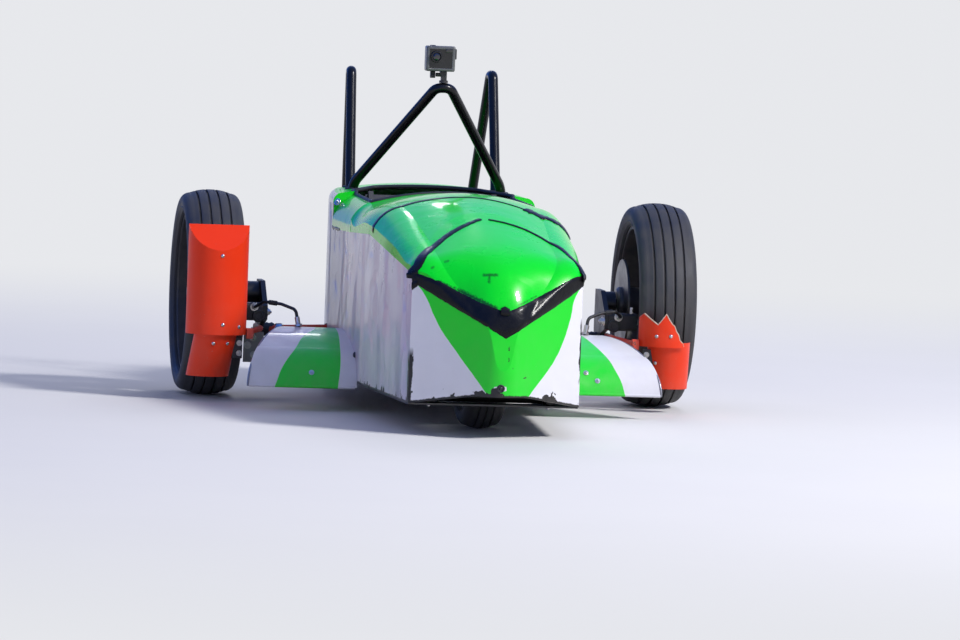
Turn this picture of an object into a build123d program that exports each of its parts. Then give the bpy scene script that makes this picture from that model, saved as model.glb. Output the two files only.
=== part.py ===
import os
from math import cos, hypot, radians, sin, tan

from build123d import *

os.makedirs("parts", exist_ok=True)

# A three-wheeled gravity racer, in millimetres. It faces -Y, +Z is up, and its left side is +X.
# The origin lies on the ground under the middle of its bounding box.
# "ahead" is a distance in front of the rear axle.

# Rear wheels
rear_axle_y = 325
wheel_track = 1130
tyre_radius = 256
tyre_width = 145
tread_width = 115
bead_radius = 198
bead_width = 106
rim_wall = 8
rim_disc_wall = 7
rim_disc_edge = 6
rim_disc_crown = 20
rim_disc_crown_radius = 120
rim_disc_root = 14
hub_chamfer = 6
disc_setback = 14
hub_radius = 42
hub_inner_reach = 96
hub_outer_reach = 34
axle_radius = 12
running_gap = 0.4
brake_disc_radius = 112
brake_disc_thick = 5
rim_hole_count = 6
rim_hole_radius = 24
rim_hole_circle = 112

# Steered front wheel and its fork
front_wheel_ahead = 900
front_tyre_radius = 200
front_tyre_width = 96
front_tread_width = 66
front_bead_radius = 150
front_bead_width = 70
front_hub_radius = 26
front_hub_reach = 52
steer_rake = 20
fork_blade_radius = 13
fork_blade_gap = 12
fork_crown_gap = 9
fork_crown_thick = 22
steerer_radius = 15
head_tube_radius = 22
head_tube_length = 46
steer_arm_reach = 112
steer_arm_thick = 8
steer_arm_level = 4
drag_rod_radius = 6
pin_radius = 5
eye_radius = 11
eye_height = 10
head_leg_x = 152
head_leg_radius = 10
bar_pivot_ahead = 176
bar_pivot_z = 396
bearing_length = 56
post_length = 420
bar_half_width = 150
bar_radius = 11
pedal_ahead = 640

# Body shell
sheet = 4
body_bottom_z = 74
floor_top_z = 73.8
floor_sheet = 4
nose_corner_ahead = 1140
nose_half_width = 202.5
nose_flank_angle = 37
nose_tip_radius = 55
nose_bottom_rise = 27
hood_seam_ahead = 600
hood_seam_half_width = 238
cockpit_front_half_width = 249
cowl_rear_half_width = 255
cockpit_front_ahead = 317
cowl_rear_ahead = 0
cockpit_rear_ahead = -150
tail_ahead = -628
cockpit_half_width = 196
arch_apex_ahead = 850
arch_apex_z = 502
arch_foot_z = 393

# Tubular frame
rail_half_gap = 142
rail_radius = 16
cross_tube_radius = 14
rail_front_ahead = 1105
socket_radius = 13
socket_depth = 80
hoop_tube_radius = 12.5

hoop_foot_ahead = -150
hoop_foot_x = 190
hoop_knee_z = 530
hoop_apex_ahead = 85
hoop_apex_z = 786
hoop_apex_half = 18
main_hoop_radii = (55, 24, 24, 55)
# Side hoops, as (x, ahead, z) corners with a radius at each inner one
side_hoop_corners = ((186, -228, 530), (182, -312, 812), (180, -346, 812), (164, -474, 520), (162, -490, 455))
side_hoop_radii = (120, 15, 15, 90)
camera_width = 73
camera_depth = 40
camera_height = 66
camera_stem = 28
camera_offset = -11

# Bucket seat, as (ahead, z) corners
seat_corners = ((238, 137.8), (60, 97.8), (-112, 503.8))
seat_bend = 110
seat_thick = 18
seat_half_width = 162
seat_bolster = 12
pad_thick = 20
pad_front_ahead = 226
pad_top_z = 486

# Suspension, brakes and the pieces they carry
upright_x = 430
upright_thick = 12
arm_tube_radius = 11
arm_spread = 95
arm_post_x = 232
arm_post_half = 9
upper_arm_z = 166
lower_arm_z = 108
caliper_width = 41
caliper_length = 48
caliper_height = 44
caliper_drop = 40
guard_sheet = 3
guard_top_half_width = 75
guard_low_half_width = 53
guard_crest_ahead = 310
guard_joint_z = 167
guard_bottom_z = 62
guard_rear_top_z = 436
guard_front_top_z = 375
guard_back_ahead = 245
guard_lower_lean = 34
guard_bent_out = {"right": 16, "left": 2}
guard_lap = 12
# What is left of the broken guard's edge, as (x from the wheel's middle, z) points
torn_edge = (
    (-120, 232), (-76, 236), (-66, 249), (-50, 234), (-36, 223), (-26, 236), (-17, 250), (-9, 236),
    (-2, 226), (4, 221), (9, 208), (15, 200), (19, 186), (27, 178), (31, 160), (120, 150),
)
# Routes as (x, ahead, z) corners
guard_bracket_route = ((443.2, 34, 177), (443.2, 150, 177), (478, 200, 170), (478, 252, 170))
guard_bracket_radii = (40, 40)
guard_bracket_radius = 7
hose_route = (
    (458, 122.3, 228), (458, 158, 232), (440, 186, 246), (400, 204, 242), (366, 222, 230),
    (358, 228, 188.2),
)
hose_radii = (16, 18, 22, 16)
hose_radius = 4
caliper_ahead = 98
caliper_slot = 16
upright_low_z = 86
lug_ahead = 52
lug_width = 38
lug_thick = 6
lug_height = 76
wing_sheet = 4
wing_rear_ahead = 220
wing_front_ahead = 500
wing_top_z = 188
wing_bottom_z = 60
wing_rear_x = 402
wing_front_x = 510

tip_ahead = nose_corner_ahead + nose_half_width * tan(radians(nose_flank_angle))
tip_ahead -= nose_tip_radius * (1 / cos(radians(nose_flank_angle)) - 1)
side_signs = (("right", -1), ("left", 1))


def at(ahead):
    return rear_axle_y - ahead


def side_half(ahead):
    """Half width of the body's side sheets in front of the rear axle."""
    if ahead > hood_seam_ahead:
        return nose_half_width + (hood_seam_half_width - nose_half_width) * (
            (nose_corner_ahead - ahead) / (nose_corner_ahead - hood_seam_ahead)
        )
    if ahead > cockpit_front_ahead:
        return hood_seam_half_width + (cockpit_front_half_width - hood_seam_half_width) * (
            (hood_seam_ahead - ahead) / (hood_seam_ahead - cockpit_front_ahead)
        )
    return cockpit_front_half_width + (cowl_rear_half_width - cockpit_front_half_width) * (
        (cockpit_front_ahead - ahead) / (cockpit_front_ahead - cowl_rear_ahead)
    )


def save(part, node):
    part.label = node
    export_step(part, f"parts/{node}.step")


# Half sections of the shell, standing upright across the car. Each row is:
# ahead, half width, foot z, shoulder x, shoulder z, crest z
nose_sections = (
    (317, 255, 418, 198, 507, 534),
    (500, 247, 426, 182, 511, 542),
    (680, 238, 424, 165, 508, 537),
    (840, 229, 412, 154, 479, 508),
    (980, 220, 396, 146, 448, 477),
    (1080, 214, 380, 142, 426, 452),
    (1150, 208, 352, 134, 400, 428),
    (1200, 166, 256, 98, 345, 396),
    (1240, 122, 190, 62, 290, 346),
    (1270, 104, 110, 50, 205, 248),
    (1300, 100, 20, 48, 90, 120),
)
cowl_sections = (
    (cowl_rear_ahead, 255, 424, 214, 506, 534),
    (cockpit_front_ahead, 249, 428, 198, 507, 535),
)
tail_sections = (
    (tail_ahead, 182, 330, 126, 392, 402),
    (-470, 208, 430, 164, 486, 505),
    (-250, 236, 490, 205, 517, 532),
    (cowl_rear_ahead, 255, 492, 232, 514, 534),
)


def section_face(row, inset, bottom_z, slope):
    """One closed section of the shell; an inset section also steps back where the crest falls."""
    ahead, half, foot_z, shoulder_x, shoulder_z, crest_z = row
    lean = hypot(slope, 1)
    ahead += inset * slope / lean
    foot_z -= inset / lean
    half -= inset
    shoulder_x -= inset * 0.6
    shoulder_z -= inset / lean
    crest_z -= inset / lean
    mid_x = (half + shoulder_x) / 2 + (half - shoulder_x) * 0.2
    mid_z = (foot_z + shoulder_z) / 2 + (shoulder_z - foot_z) * 0.2
    with BuildSketch(Plane.XZ.offset(-at(ahead))) as face:
        with BuildLine():
            Line((-half, foot_z), (-half, bottom_z))
            Line((-half, bottom_z), (half, bottom_z))
            Line((half, bottom_z), (half, foot_z))
            ThreePointArc((half, foot_z), (mid_x, mid_z), (shoulder_x, shoulder_z))
            ThreePointArc((shoulder_x, shoulder_z), (0, crest_z), (-shoulder_x, shoulder_z))
            ThreePointArc((-shoulder_x, shoulder_z), (-mid_x, mid_z), (-half, foot_z))
        make_face()
    return face.sketch.face()


def shell_block(rows, inset, bottom_z, upright_ends):
    """A closed block through the sections; the listed end sections stay in their own planes."""
    faces = []
    for index, row in enumerate(rows):
        before = rows[max(index - 1, 0)]
        after = rows[min(index + 1, len(rows) - 1)]
        slope = (after[-1] - before[-1]) / (after[0] - before[0])
        if not inset or index in upright_ends:
            slope = 0
        faces.append(section_face(row, inset, bottom_z, slope))
    with BuildPart() as block:
        add(faces)
        loft()
    return block.part


def plan_block(inset):
    """The body seen from above in front of the cockpit, with its rounded V nose."""
    half = nose_half_width - inset
    tip = nose_corner_ahead + nose_half_width * tan(radians(nose_flank_angle))
    tip -= inset / cos(radians(nose_flank_angle))
    corner = tip - half * tan(radians(nose_flank_angle))
    back = cockpit_front_ahead
    seam_half = hood_seam_half_width - inset
    back_half = cockpit_front_half_width - inset
    with BuildPart() as block:
        with BuildSketch():
            with BuildLine() as outline:
                Polyline((-half, at(corner)), (0, at(tip)), (half, at(corner)))
                Polyline(
                    (half, at(corner)), (seam_half, at(hood_seam_ahead)), (back_half, at(back)),
                    (-back_half, at(back)), (-seam_half, at(hood_seam_ahead)), (-half, at(corner)),
                )
            make_face()
            front = outline.vertices().sort_by(Axis.Y)[0]
            fillet(front, nose_tip_radius - inset)
        extrude(amount=600)
    return block.part


def side_prism(points, x0, x1):
    """A prism across the car between x0 and x1, drawn in side view as (ahead, z) points."""
    with BuildPart() as prism:
        with BuildSketch(Plane.YZ.offset(x0)):
            with BuildLine():
                Polyline(*[(at(ahead), z) for ahead, z in points], close=True)
            make_face()
        extrude(amount=x1 - x0)
    return prism.part


def tube_path(points, radii, radius):
    """A bent tube along straight runs with tangent arcs."""
    with BuildPart() as tube:
        with BuildLine() as path:
            FilletPolyline(*points, radius=list(radii))
        with BuildSketch(Plane(origin=path.line @ 0, z_dir=path.line % 0)):
            Circle(radius)
        sweep(path=path.line)
    return tube.part


def rod(start, end, radius):
    start = Vector(*start)
    end = Vector(*end)
    with BuildPart() as bar:
        with BuildSketch(Plane(origin=start, z_dir=end - start)):
            Circle(radius)
        extrude(amount=(end - start).length)
    return bar.part


# The shell in three stretches: nose, cockpit and tail, each open below
body_half_room = 400
shell_top_z = 700
below_body = side_prism(
    [(tip_ahead + 60, -30), (tip_ahead + 60, body_bottom_z), (tail_ahead - 20, body_bottom_z),
     (tail_ahead - 20, -30)],
    -body_half_room, body_half_room,
)
nose_outer = shell_block(nose_sections, 0, -60, ()) & plan_block(0)
nose_inner = shell_block(nose_sections, sheet, -80, (0,)) & plan_block(sheet)
nose_shell = nose_outer - nose_inner - below_body
cowl_shell = shell_block(cowl_sections, 0, 0, ()) - shell_block(cowl_sections, sheet, -20, (0, 1))
cowl_shell = cowl_shell - below_body
tail_shell = shell_block(tail_sections, 0, 0, ()) - shell_block(tail_sections, sheet, -20, (0, 3))
tail_shell = tail_shell - below_body

corner_x = nose_half_width
foot_line = (
    (nose_corner_ahead, arch_foot_z - 18), (hood_seam_ahead, 440),
    (cockpit_front_ahead, 430), (cowl_rear_ahead, 424),
)
nose_trim_corner_z = 371
nose_trim_tip_z = 246

# Everything of the nose under the line where the side sheets end
below_line = side_prism(
    [(cockpit_front_ahead - 400, 0), (nose_corner_ahead, 0)] + [*foot_line]
    + [(cockpit_front_ahead - 400, 424)],
    -body_half_room, body_half_room,
)
front_zone = side_prism(
    [(nose_corner_ahead, 0), (tip_ahead + 60, 0),
     (tip_ahead + 60, nose_trim_tip_z - 60 * 0.94), (tip_ahead, nose_trim_tip_z),
     (nose_corner_ahead, nose_trim_corner_z)],
    -body_half_room, body_half_room,
)
front_bottom_cut = side_prism(
    [(nose_corner_ahead - 1, 0), (tip_ahead + 60, 0), (tip_ahead + 60, body_bottom_z + nose_bottom_rise),
     (tip_ahead - 30, body_bottom_z + nose_bottom_rise), (nose_corner_ahead, body_bottom_z)],
    -body_half_room, body_half_room,
)
arch_slope = (arch_foot_z - arch_apex_z) / (nose_corner_ahead - 16 - arch_apex_ahead)
arch_back_z = arch_apex_z - arch_slope * (arch_apex_ahead - 500)
dome_zone = side_prism(
    [(nose_corner_ahead, nose_trim_corner_z), (tip_ahead, nose_trim_tip_z),
     (tip_ahead + 60, nose_trim_tip_z - 60 * 0.94), (tip_ahead + 60, shell_top_z),
     (500, shell_top_z), (500, arch_back_z), (arch_apex_ahead, arch_apex_z),
     (nose_corner_ahead - 16, arch_foot_z), (nose_corner_ahead - 16, nose_trim_corner_z)],
    -body_half_room, body_half_room,
)

with BuildPart() as nose_front:
    add(nose_shell)
    add(front_zone, mode=Mode.INTERSECT)
    add(front_bottom_cut, mode=Mode.SUBTRACT)
save(nose_front.part, "nose_front")

with BuildPart() as nose_dome:
    add(nose_shell)
    add(dome_zone, mode=Mode.INTERSECT)
save(nose_dome.part, "nose_dome")

hood_top = nose_shell - below_line - dome_zone - front_zone
with BuildPart() as hood_front:
    add(hood_top)
    split(bisect_by=Plane.XZ.offset(-at(hood_seam_ahead)), keep=Keep.TOP)
save(hood_front.part, "hood_front")
with BuildPart() as hood_rear:
    add(hood_top)
    split(bisect_by=Plane.XZ.offset(-at(hood_seam_ahead)), keep=Keep.BOTTOM)
save(hood_rear.part, "hood_rear")

# Side sheets run from the nose corners to the back of the cockpit cowls
side_band = (nose_shell & below_line) - front_zone - dome_zone
with BuildPart() as cockpit_cut:
    with BuildSketch():
        with BuildLine():
            Polyline(
                (-cockpit_half_width, at(cockpit_front_ahead + 1)),
                (-cockpit_half_width, at(cockpit_rear_ahead + 90)),
                (-cockpit_half_width + 60, at(cockpit_rear_ahead)),
                (cockpit_half_width - 60, at(cockpit_rear_ahead)),
                (cockpit_half_width, at(cockpit_rear_ahead + 90)),
                (cockpit_half_width, at(cockpit_front_ahead + 1)), close=True,
            )
        make_face()
    extrude(amount=shell_top_z)
for side, sign in side_signs:
    with BuildPart() as cockpit_cowl:
        add(cowl_shell - below_line - cockpit_cut.part)
        split(bisect_by=Plane.YZ, keep=Keep.TOP if sign > 0 else Keep.BOTTOM)
    save(cockpit_cowl.part, f"cockpit_cowl_{side}")

# Tail: sides up to the shoulder line, a deck between them and a closing panel
tail_deck_line = [(tail_ahead - 10, 322), (-470, 424), (-250, 484), (cowl_rear_ahead, 486)]
tail_side_zone = side_prism(
    [(cowl_rear_ahead, 0)] + [(tail_ahead - 10, 0)] + tail_deck_line,
    -body_half_room, body_half_room,
)
with BuildPart() as tail_panel:
    add(section_face(tail_sections[0], sheet + 0.5, body_bottom_z, 0))
    extrude(amount=sheet, dir=(0, -1, 0))
    with BuildSketch(Plane.XZ.offset(-at(tail_ahead - 1))):
        with Locations(*[(x, floor_top_z + rail_radius + 0.2) for x in (-rail_half_gap, rail_half_gap)]):
            Circle(rail_radius + 0.2)
    extrude(amount=sheet + 2, mode=Mode.SUBTRACT)
save(tail_panel.part, "tail_panel")

# Floor sheet with the front wheel's slot
front_wheel_y = at(front_wheel_ahead)
slot_half_width = 112
slot_half_length = 176
floor_setback = 3
floor_edge = [(nose_half_width - 1, at(nose_corner_ahead - 6))]
floor_edge += [(side_half(ahead) - floor_setback, at(ahead)) for ahead in (hood_seam_ahead, cockpit_front_ahead)]
floor_edge += [(half - floor_setback, at(ahead)) for ahead, half, *heights in reversed(tail_sections[1:])]
floor_edge += [(tail_sections[0][1] - floor_setback, at(tail_ahead + 2))]
with BuildPart() as floor_pan:
    with BuildSketch(Plane.XY.offset(floor_top_z - floor_sheet)):
        with BuildLine():
            Polyline(*floor_edge, *[(-x, y) for x, y in reversed(floor_edge)], close=True)
        make_face()
        with Locations((0, front_wheel_y)):
            RectangleRounded(2 * slot_half_width, 2 * slot_half_length, 40, mode=Mode.SUBTRACT)
    extrude(amount=floor_sheet)
save(floor_pan.part, "floor_pan")

# Frame: two rails on the floor, cross tubes between them, and posts for the arms
rail_z = floor_top_z + rail_radius + 0.2
for side, sign in side_signs:
    x = sign * rail_half_gap
    with BuildPart() as frame_rail:
        add(rod((x, at(rail_front_ahead), rail_z), (x, at(tail_ahead), rail_z), rail_radius))
        add(rod((x, at(tail_ahead + socket_depth), rail_z), (x, at(tail_ahead - 1), rail_z), socket_radius),
            mode=Mode.SUBTRACT)
    save(frame_rail.part, f"frame_rail_{side}")
cross_places = (rail_front_ahead - 20, pedal_ahead, 290, 0, -200, -560)
cross_half = rail_half_gap - rail_radius - 0.2
cross_tubes = [
    rod((-cross_half, at(ahead), rail_z), (cross_half, at(ahead), rail_z), cross_tube_radius)
    for ahead in cross_places
]
save(Compound(children=cross_tubes), "frame_cross_tubes")

# Rear wheels
wheel_z = tyre_radius


def tyre(radius, width, tread, bead, bead_half):
    """A rounded tyre about the X axis, closed inside the rim."""
    half = width / 2
    bulge = bead + (radius - bead) * 0.45
    edge = radius - (radius - bead) * 0.09
    with BuildPart() as ring:
        with BuildSketch(Plane.XY):
            with BuildLine():
                Line((-bead_half, bead), (bead_half, bead))
                ThreePointArc((bead_half, bead), (half - 1, bead + (bulge - bead) * 0.6), (half, bulge))
                ThreePointArc((half, bulge), (half - 3.5, (bulge + edge) / 2 + 5), (tread / 2, edge))
                ThreePointArc((tread / 2, edge), (0, radius), (-tread / 2, edge))
                ThreePointArc((-tread / 2, edge), (-half + 3.5, (bulge + edge) / 2 + 5), (-half, bulge))
                ThreePointArc((-half, bulge), (-half + 1, bead + (bulge - bead) * 0.6), (-bead_half, bead))
            make_face()
        revolve(axis=Axis.X)
    return ring.part


for side, sign in side_signs:
    centre = Location((sign * wheel_track / 2, rear_axle_y, wheel_z))
    tyre_part = tyre(tyre_radius, tyre_width, tread_width, bead_radius, bead_width / 2)
    save(tyre_part.moved(centre), f"tyre_rear_{side}")
    dish = [(rim_disc_edge, bead_radius - rim_wall + 1), (rim_disc_crown, rim_disc_crown_radius),
            (rim_disc_root, hub_radius - 2)]
    dish += [(x + rim_disc_wall, r) for x, r in reversed(dish)]
    hub = [
        (-hub_inner_reach, axle_radius + running_gap), (hub_outer_reach, axle_radius + running_gap),
        (hub_outer_reach, hub_radius - 8), (hub_outer_reach - 12, hub_radius),
        (-hub_inner_reach + hub_chamfer, hub_radius), (-hub_inner_reach, hub_radius - hub_chamfer),
    ]
    band = [(-bead_width / 2, bead_radius), (bead_width / 2, bead_radius),
            (bead_width / 2, bead_radius - rim_wall), (-bead_width / 2, bead_radius - rim_wall)]
    with BuildPart() as rim:
        with BuildSketch(Plane.XY):
            for section in (band, dish, hub):
                with BuildLine():
                    Polyline(*[(sign * x, r) for x, r in section], close=True)
                make_face()
        revolve(axis=Axis.X)
        with BuildSketch(Plane.YZ.offset(-60)):
            with PolarLocations(rim_hole_circle, rim_hole_count):
                Circle(rim_hole_radius)
        extrude(amount=120, mode=Mode.SUBTRACT)
    save(rim.part.moved(centre), f"rim_rear_{side}")
    with BuildPart() as brake_disc:
        with BuildSketch(Plane.YZ.offset(-sign * (hub_inner_reach - disc_setback))):
            Circle(brake_disc_radius)
            Circle(hub_radius + 0.1, mode=Mode.SUBTRACT)
        extrude(amount=sign * brake_disc_thick)
    save(brake_disc.part.moved(centre), f"brake_disc_{side}")

# Front wheel
front_centre = Location((0, front_wheel_y, front_tyre_radius))
front_tyre = tyre(
    front_tyre_radius, front_tyre_width, front_tread_width, front_bead_radius, front_bead_width / 2,
)
save(front_tyre.moved(front_centre), "tyre_front")
with BuildPart() as front_rim:
    with BuildSketch(Plane.XY):
        with BuildLine():
            Polyline(
                (-front_bead_width / 2, front_bead_radius), (front_bead_width / 2, front_bead_radius),
                (front_bead_width / 2, front_bead_radius - 6), (-front_bead_width / 2, front_bead_radius - 6),
                close=True,
            )
        make_face()
        with BuildLine():
            Polyline(
                (-4, front_bead_radius - 5), (4, front_bead_radius - 5), (8, front_hub_radius - 1),
                (-8, front_hub_radius - 1), close=True,
            )
        make_face()
        with BuildLine():
            Polyline(
                (-front_hub_reach, axle_radius + running_gap), (front_hub_reach, axle_radius + running_gap),
                (front_hub_reach, front_hub_radius), (-front_hub_reach, front_hub_radius), close=True,
            )
        make_face()
    revolve(axis=Axis.X)
    with BuildSketch(Plane.YZ.offset(-60)):
        with PolarLocations((front_bead_radius + front_hub_radius) / 2, 5):
            Circle(24)
    extrude(amount=120, mode=Mode.SUBTRACT)
save(front_rim.part.moved(front_centre), "rim_front")

# Fork, drawn upright about the hub and then tilted back by the rake
blade_x = front_tyre_width / 2 + fork_blade_gap + fork_blade_radius
crown_low = front_tyre_radius + fork_crown_gap
crown_high = crown_low + fork_crown_thick
crown_end = 2 * fork_blade_radius + 12
steer_pin_x = steer_arm_reach
tilt = Rotation(-steer_rake, 0, 0)
fork_place = Location((0, front_wheel_y, front_tyre_radius)) * tilt
with BuildPart() as fork:
    for sign in (-1, 1):
        with BuildSketch(Plane.XY.offset(-18)):
            with Locations((sign * blade_x, 0)):
                Circle(fork_blade_radius)
        extrude(amount=crown_low + 18 + 4)
    with BuildSketch(Plane.XY.offset(crown_low)):
        SlotCenterToCenter(2 * blade_x, crown_end)
    extrude(amount=fork_crown_thick)
    with BuildSketch(Plane.XY.offset(crown_low)):
        with Locations(((blade_x + steer_pin_x) / 2, 0)):
            SlotCenterToCenter(steer_pin_x - blade_x, 2 * eye_radius)
    extrude(amount=steer_arm_thick)
    with BuildSketch(Plane.XY.offset(crown_low)):
        with Locations((steer_pin_x, 0)):
            Circle(pin_radius)
    extrude(amount=steer_arm_thick + eye_height + 3)
    with BuildSketch(Plane.XY.offset(crown_high)):
        Circle(steerer_radius)
    extrude(amount=head_tube_length + 10)
    with BuildSketch(Plane.XY.offset(crown_high + head_tube_length + 1.2)):
        Circle(steerer_radius + 5)
    extrude(amount=8)
    with BuildSketch(Plane.YZ.offset(-blade_x)):
        Circle(axle_radius)
    extrude(amount=2 * blade_x)
save(fork.part.moved(fork_place), "fork")

# Head tube, held over the wheel by a cross bar on two legs that stand on the rails
head_low = crown_high + 0.6
head_axis = fork_place * Location((0, 0, head_low + head_tube_length / 2))
head_y = head_axis.position.Y
head_z = head_axis.position.Z
with BuildPart() as head_tube:
    add(rod((-head_leg_x, head_y, head_z), (head_leg_x, head_y, head_z), head_leg_radius))
    with BuildSketch(Plane(fork_place).offset(head_low)):
        Circle(head_tube_radius)
    extrude(amount=head_tube_length)
    with BuildSketch(Plane(fork_place).offset(head_low - 5)):
        Circle(steerer_radius + running_gap)
    extrude(amount=head_tube_length + 10, mode=Mode.SUBTRACT)
save(head_tube.part, "head_tube")
leg_top = head_z - head_leg_radius
with BuildPart() as head_legs:
    for sign in (-1, 1):
        add(rod((sign * rail_half_gap, head_y, rail_z + rail_radius + 0.2),
                (sign * rail_half_gap, head_y, leg_top), head_leg_radius))
save(head_legs.part, "head_legs")

# Handlebar on its post; its axis is parallel to the fork's and its arm as long
bar_place = Location((0, at(bar_pivot_ahead), bar_pivot_z)) * tilt
with BuildPart() as steering_post:
    with BuildSketch(Plane(bar_place).offset(-bearing_length)):
        Circle(head_tube_radius)
    extrude(amount=bearing_length)
    with BuildSketch(Plane(bar_place).offset(-bearing_length + 8)):
        Circle(steerer_radius + running_gap)
    extrude(amount=bearing_length, mode=Mode.SUBTRACT)
    with BuildSketch(Plane(bar_place).offset(-post_length)):
        Circle(14)
    extrude(amount=post_length - bearing_length)
    split(bisect_by=Plane.XY.offset(rail_z + cross_tube_radius + 0.2), keep=Keep.TOP)
save(steering_post.part, "steering_post")

with BuildPart() as handlebar:
    with BuildSketch(Plane.XY.offset(-bearing_length + 9)):
        Circle(steerer_radius)
    extrude(amount=bearing_length + 40)
    with BuildSketch(Plane.XY.offset(steer_arm_level)):
        with Locations((steer_pin_x / 2, 0)):
            SlotCenterToCenter(steer_pin_x, 2 * eye_radius)
        Circle(steerer_radius + 5)
    extrude(amount=steer_arm_thick)
    with BuildSketch(Plane.XY.offset(steer_arm_level - eye_height - 3)):
        with Locations((steer_pin_x, 0)):
            Circle(pin_radius)
    extrude(amount=steer_arm_thick + eye_height + 3)
    with BuildSketch(Plane.XY.offset(34)):
        Circle(steerer_radius + 6)
    extrude(amount=24)
    with BuildLine() as bar_path:
        FilletPolyline(
            (-bar_half_width, 34, 58), (-70, 12, 46), (70, 12, 46), (bar_half_width, 34, 58), radius=40,
        )
    with BuildSketch(Plane(origin=bar_path.line @ 0, z_dir=bar_path.line % 0)):
        Circle(bar_radius)
    sweep(path=bar_path.line)
save(handlebar.part.moved(bar_place), "handlebar")

# Drag rod: an eye over the fork's pin, an eye under the handlebar's arm, a straight rod between
front_eye = fork_place * Location((steer_pin_x, 0, crown_low + steer_arm_thick + 0.4 + eye_height / 2))
rear_eye = bar_place * Location((steer_pin_x, 0, steer_arm_level - 0.4 - eye_height / 2))
rod_vector = rear_eye.position - front_eye.position
with BuildPart() as drag_rod:
    unit = rod_vector.normalized()
    add(rod(front_eye.position + unit * (pin_radius + 2), rear_eye.position - unit * (pin_radius + 2),
            drag_rod_radius))
    for eye in (front_eye, rear_eye):
        with BuildSketch(Plane(eye).offset(-eye_height / 2)):
            Circle(eye_radius)
        extrude(amount=eye_height)
    for eye in (front_eye, rear_eye):
        with BuildSketch(Plane(eye).offset(-eye_height)):
            Circle(eye_radius + 6)
        extrude(amount=eye_height / 2, mode=Mode.SUBTRACT)
        with BuildSketch(Plane(eye).offset(eye_height / 2)):
            Circle(eye_radius + 6)
        extrude(amount=eye_height / 2, mode=Mode.SUBTRACT)
        with BuildSketch(Plane(eye).offset(-eye_height)):
            Circle(pin_radius + 0.3)
        extrude(amount=2 * eye_height, mode=Mode.SUBTRACT)
save(drag_rod.part, "drag_rod")

# Foot pedals on the rails
with BuildPart() as pedals:
    for sign in (-1, 1):
        with BuildSketch(Plane.XY.offset(rail_z + rail_radius + 0.2)):
            with Locations((sign * rail_half_gap, at(pedal_ahead))):
                Rectangle(16, 16)
        extrude(amount=90)
        with BuildSketch(Plane.XY.offset(rail_z + rail_radius + 40)):
            with Locations((sign * (rail_half_gap + 22), at(pedal_ahead) + 11)):
                RectangleRounded(76, 8, 3)
        extrude(amount=120)
save(pedals.part, "pedals")

# Bucket seat, drawn in side view as a thick line and closed by two bolsters
with BuildLine(Plane.YZ) as seat_line:
    FilletPolyline(*[(at(ahead), z) for ahead, z in seat_corners], radius=seat_bend)
with BuildPart() as seat:
    with BuildSketch(Plane.YZ.offset(-seat_half_width)):
        with BuildLine():
            FilletPolyline(*[(at(ahead), z) for ahead, z in seat_corners], radius=seat_bend)
        trace(line_width=seat_thick)
    extrude(amount=2 * seat_half_width)
    for x in (-seat_half_width, seat_half_width - seat_bolster):
        with BuildSketch(Plane.YZ.offset(x)):
            with BuildLine():
                FilletPolyline(
                    *[(at(ahead + 34 * (z > 150)), z + 42 * (z < 150)) for ahead, z in seat_corners],
                    radius=seat_bend,
                )
            trace(line_width=84)
        extrude(amount=seat_bolster)
save(seat.part, "seat")

# Seat pad on the shell's inner face, between the bolsters
pad_half_width = seat_half_width - seat_bolster - 1
with BuildPart() as seat_pad:
    with BuildSketch(Plane.YZ.offset(-pad_half_width)):
        with BuildLine():
            FilletPolyline(*[(at(ahead), z) for ahead, z in seat_corners], radius=seat_bend)
        trace(line_width=seat_thick + 2 * pad_thick)
    extrude(amount=2 * pad_half_width)
    with BuildSketch(Plane.YZ.offset(-pad_half_width)):
        with BuildLine():
            FilletPolyline(*[(at(ahead), z) for ahead, z in seat_corners], radius=seat_bend)
        trace(line_width=seat_thick + 0.4)
    extrude(amount=2 * pad_half_width, mode=Mode.SUBTRACT)
    split(bisect_by=Plane.XY.offset(pad_top_z), keep=Keep.BOTTOM)
    split(bisect_by=Plane.XZ.offset(-at(pad_front_ahead)), keep=Keep.BOTTOM)
save(seat_pad.part.solids().sort_by(Axis.Y)[0], "seat_pad")

# Roll hoops. The struts below the deck are plain tubes; the hoops stand on them.
strut_top_z = 470
hoop_cuts = []
apex_y = at(hoop_apex_ahead)
foot_y = at(hoop_foot_ahead)
main_points = (
    (-hoop_foot_x, foot_y, strut_top_z), (-hoop_foot_x, foot_y, hoop_knee_z),
    (-hoop_apex_half, apex_y, hoop_apex_z), (hoop_apex_half, apex_y, hoop_apex_z),
    (hoop_foot_x, foot_y, hoop_knee_z), (hoop_foot_x, foot_y, strut_top_z),
)
main_hoop = tube_path(main_points, main_hoop_radii, hoop_tube_radius)
hoop_cuts.append(tube_path(main_points, main_hoop_radii, hoop_tube_radius + 0.6))
save(main_hoop, "main_hoop")
for side, sign in side_signs:
    side_points = [(sign * x, at(ahead), z) for x, ahead, z in side_hoop_corners]
    side_points = [(side_points[0][0], side_points[0][1], strut_top_z)] + side_points
    hoop = tube_path(side_points, side_hoop_radii, hoop_tube_radius)
    hoop_cuts.append(tube_path(side_points, side_hoop_radii, hoop_tube_radius + 0.6))
    save(hoop, f"side_hoop_{side}")
    with BuildPart() as struts:
        for x, y in ((sign * hoop_foot_x, foot_y), side_points[0][:2]):
            add(rod((x, y, floor_top_z + 0.2), (x, y, strut_top_z - 0.2), hoop_tube_radius))
    save(struts.part, f"hoop_struts_{side}")
with BuildPart() as tail_deck:
    add(tail_shell - tail_side_zone - cockpit_cut.part)
    for cut in hoop_cuts:
        add(cut, mode=Mode.SUBTRACT)
save(tail_deck.part, "tail_deck")

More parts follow.
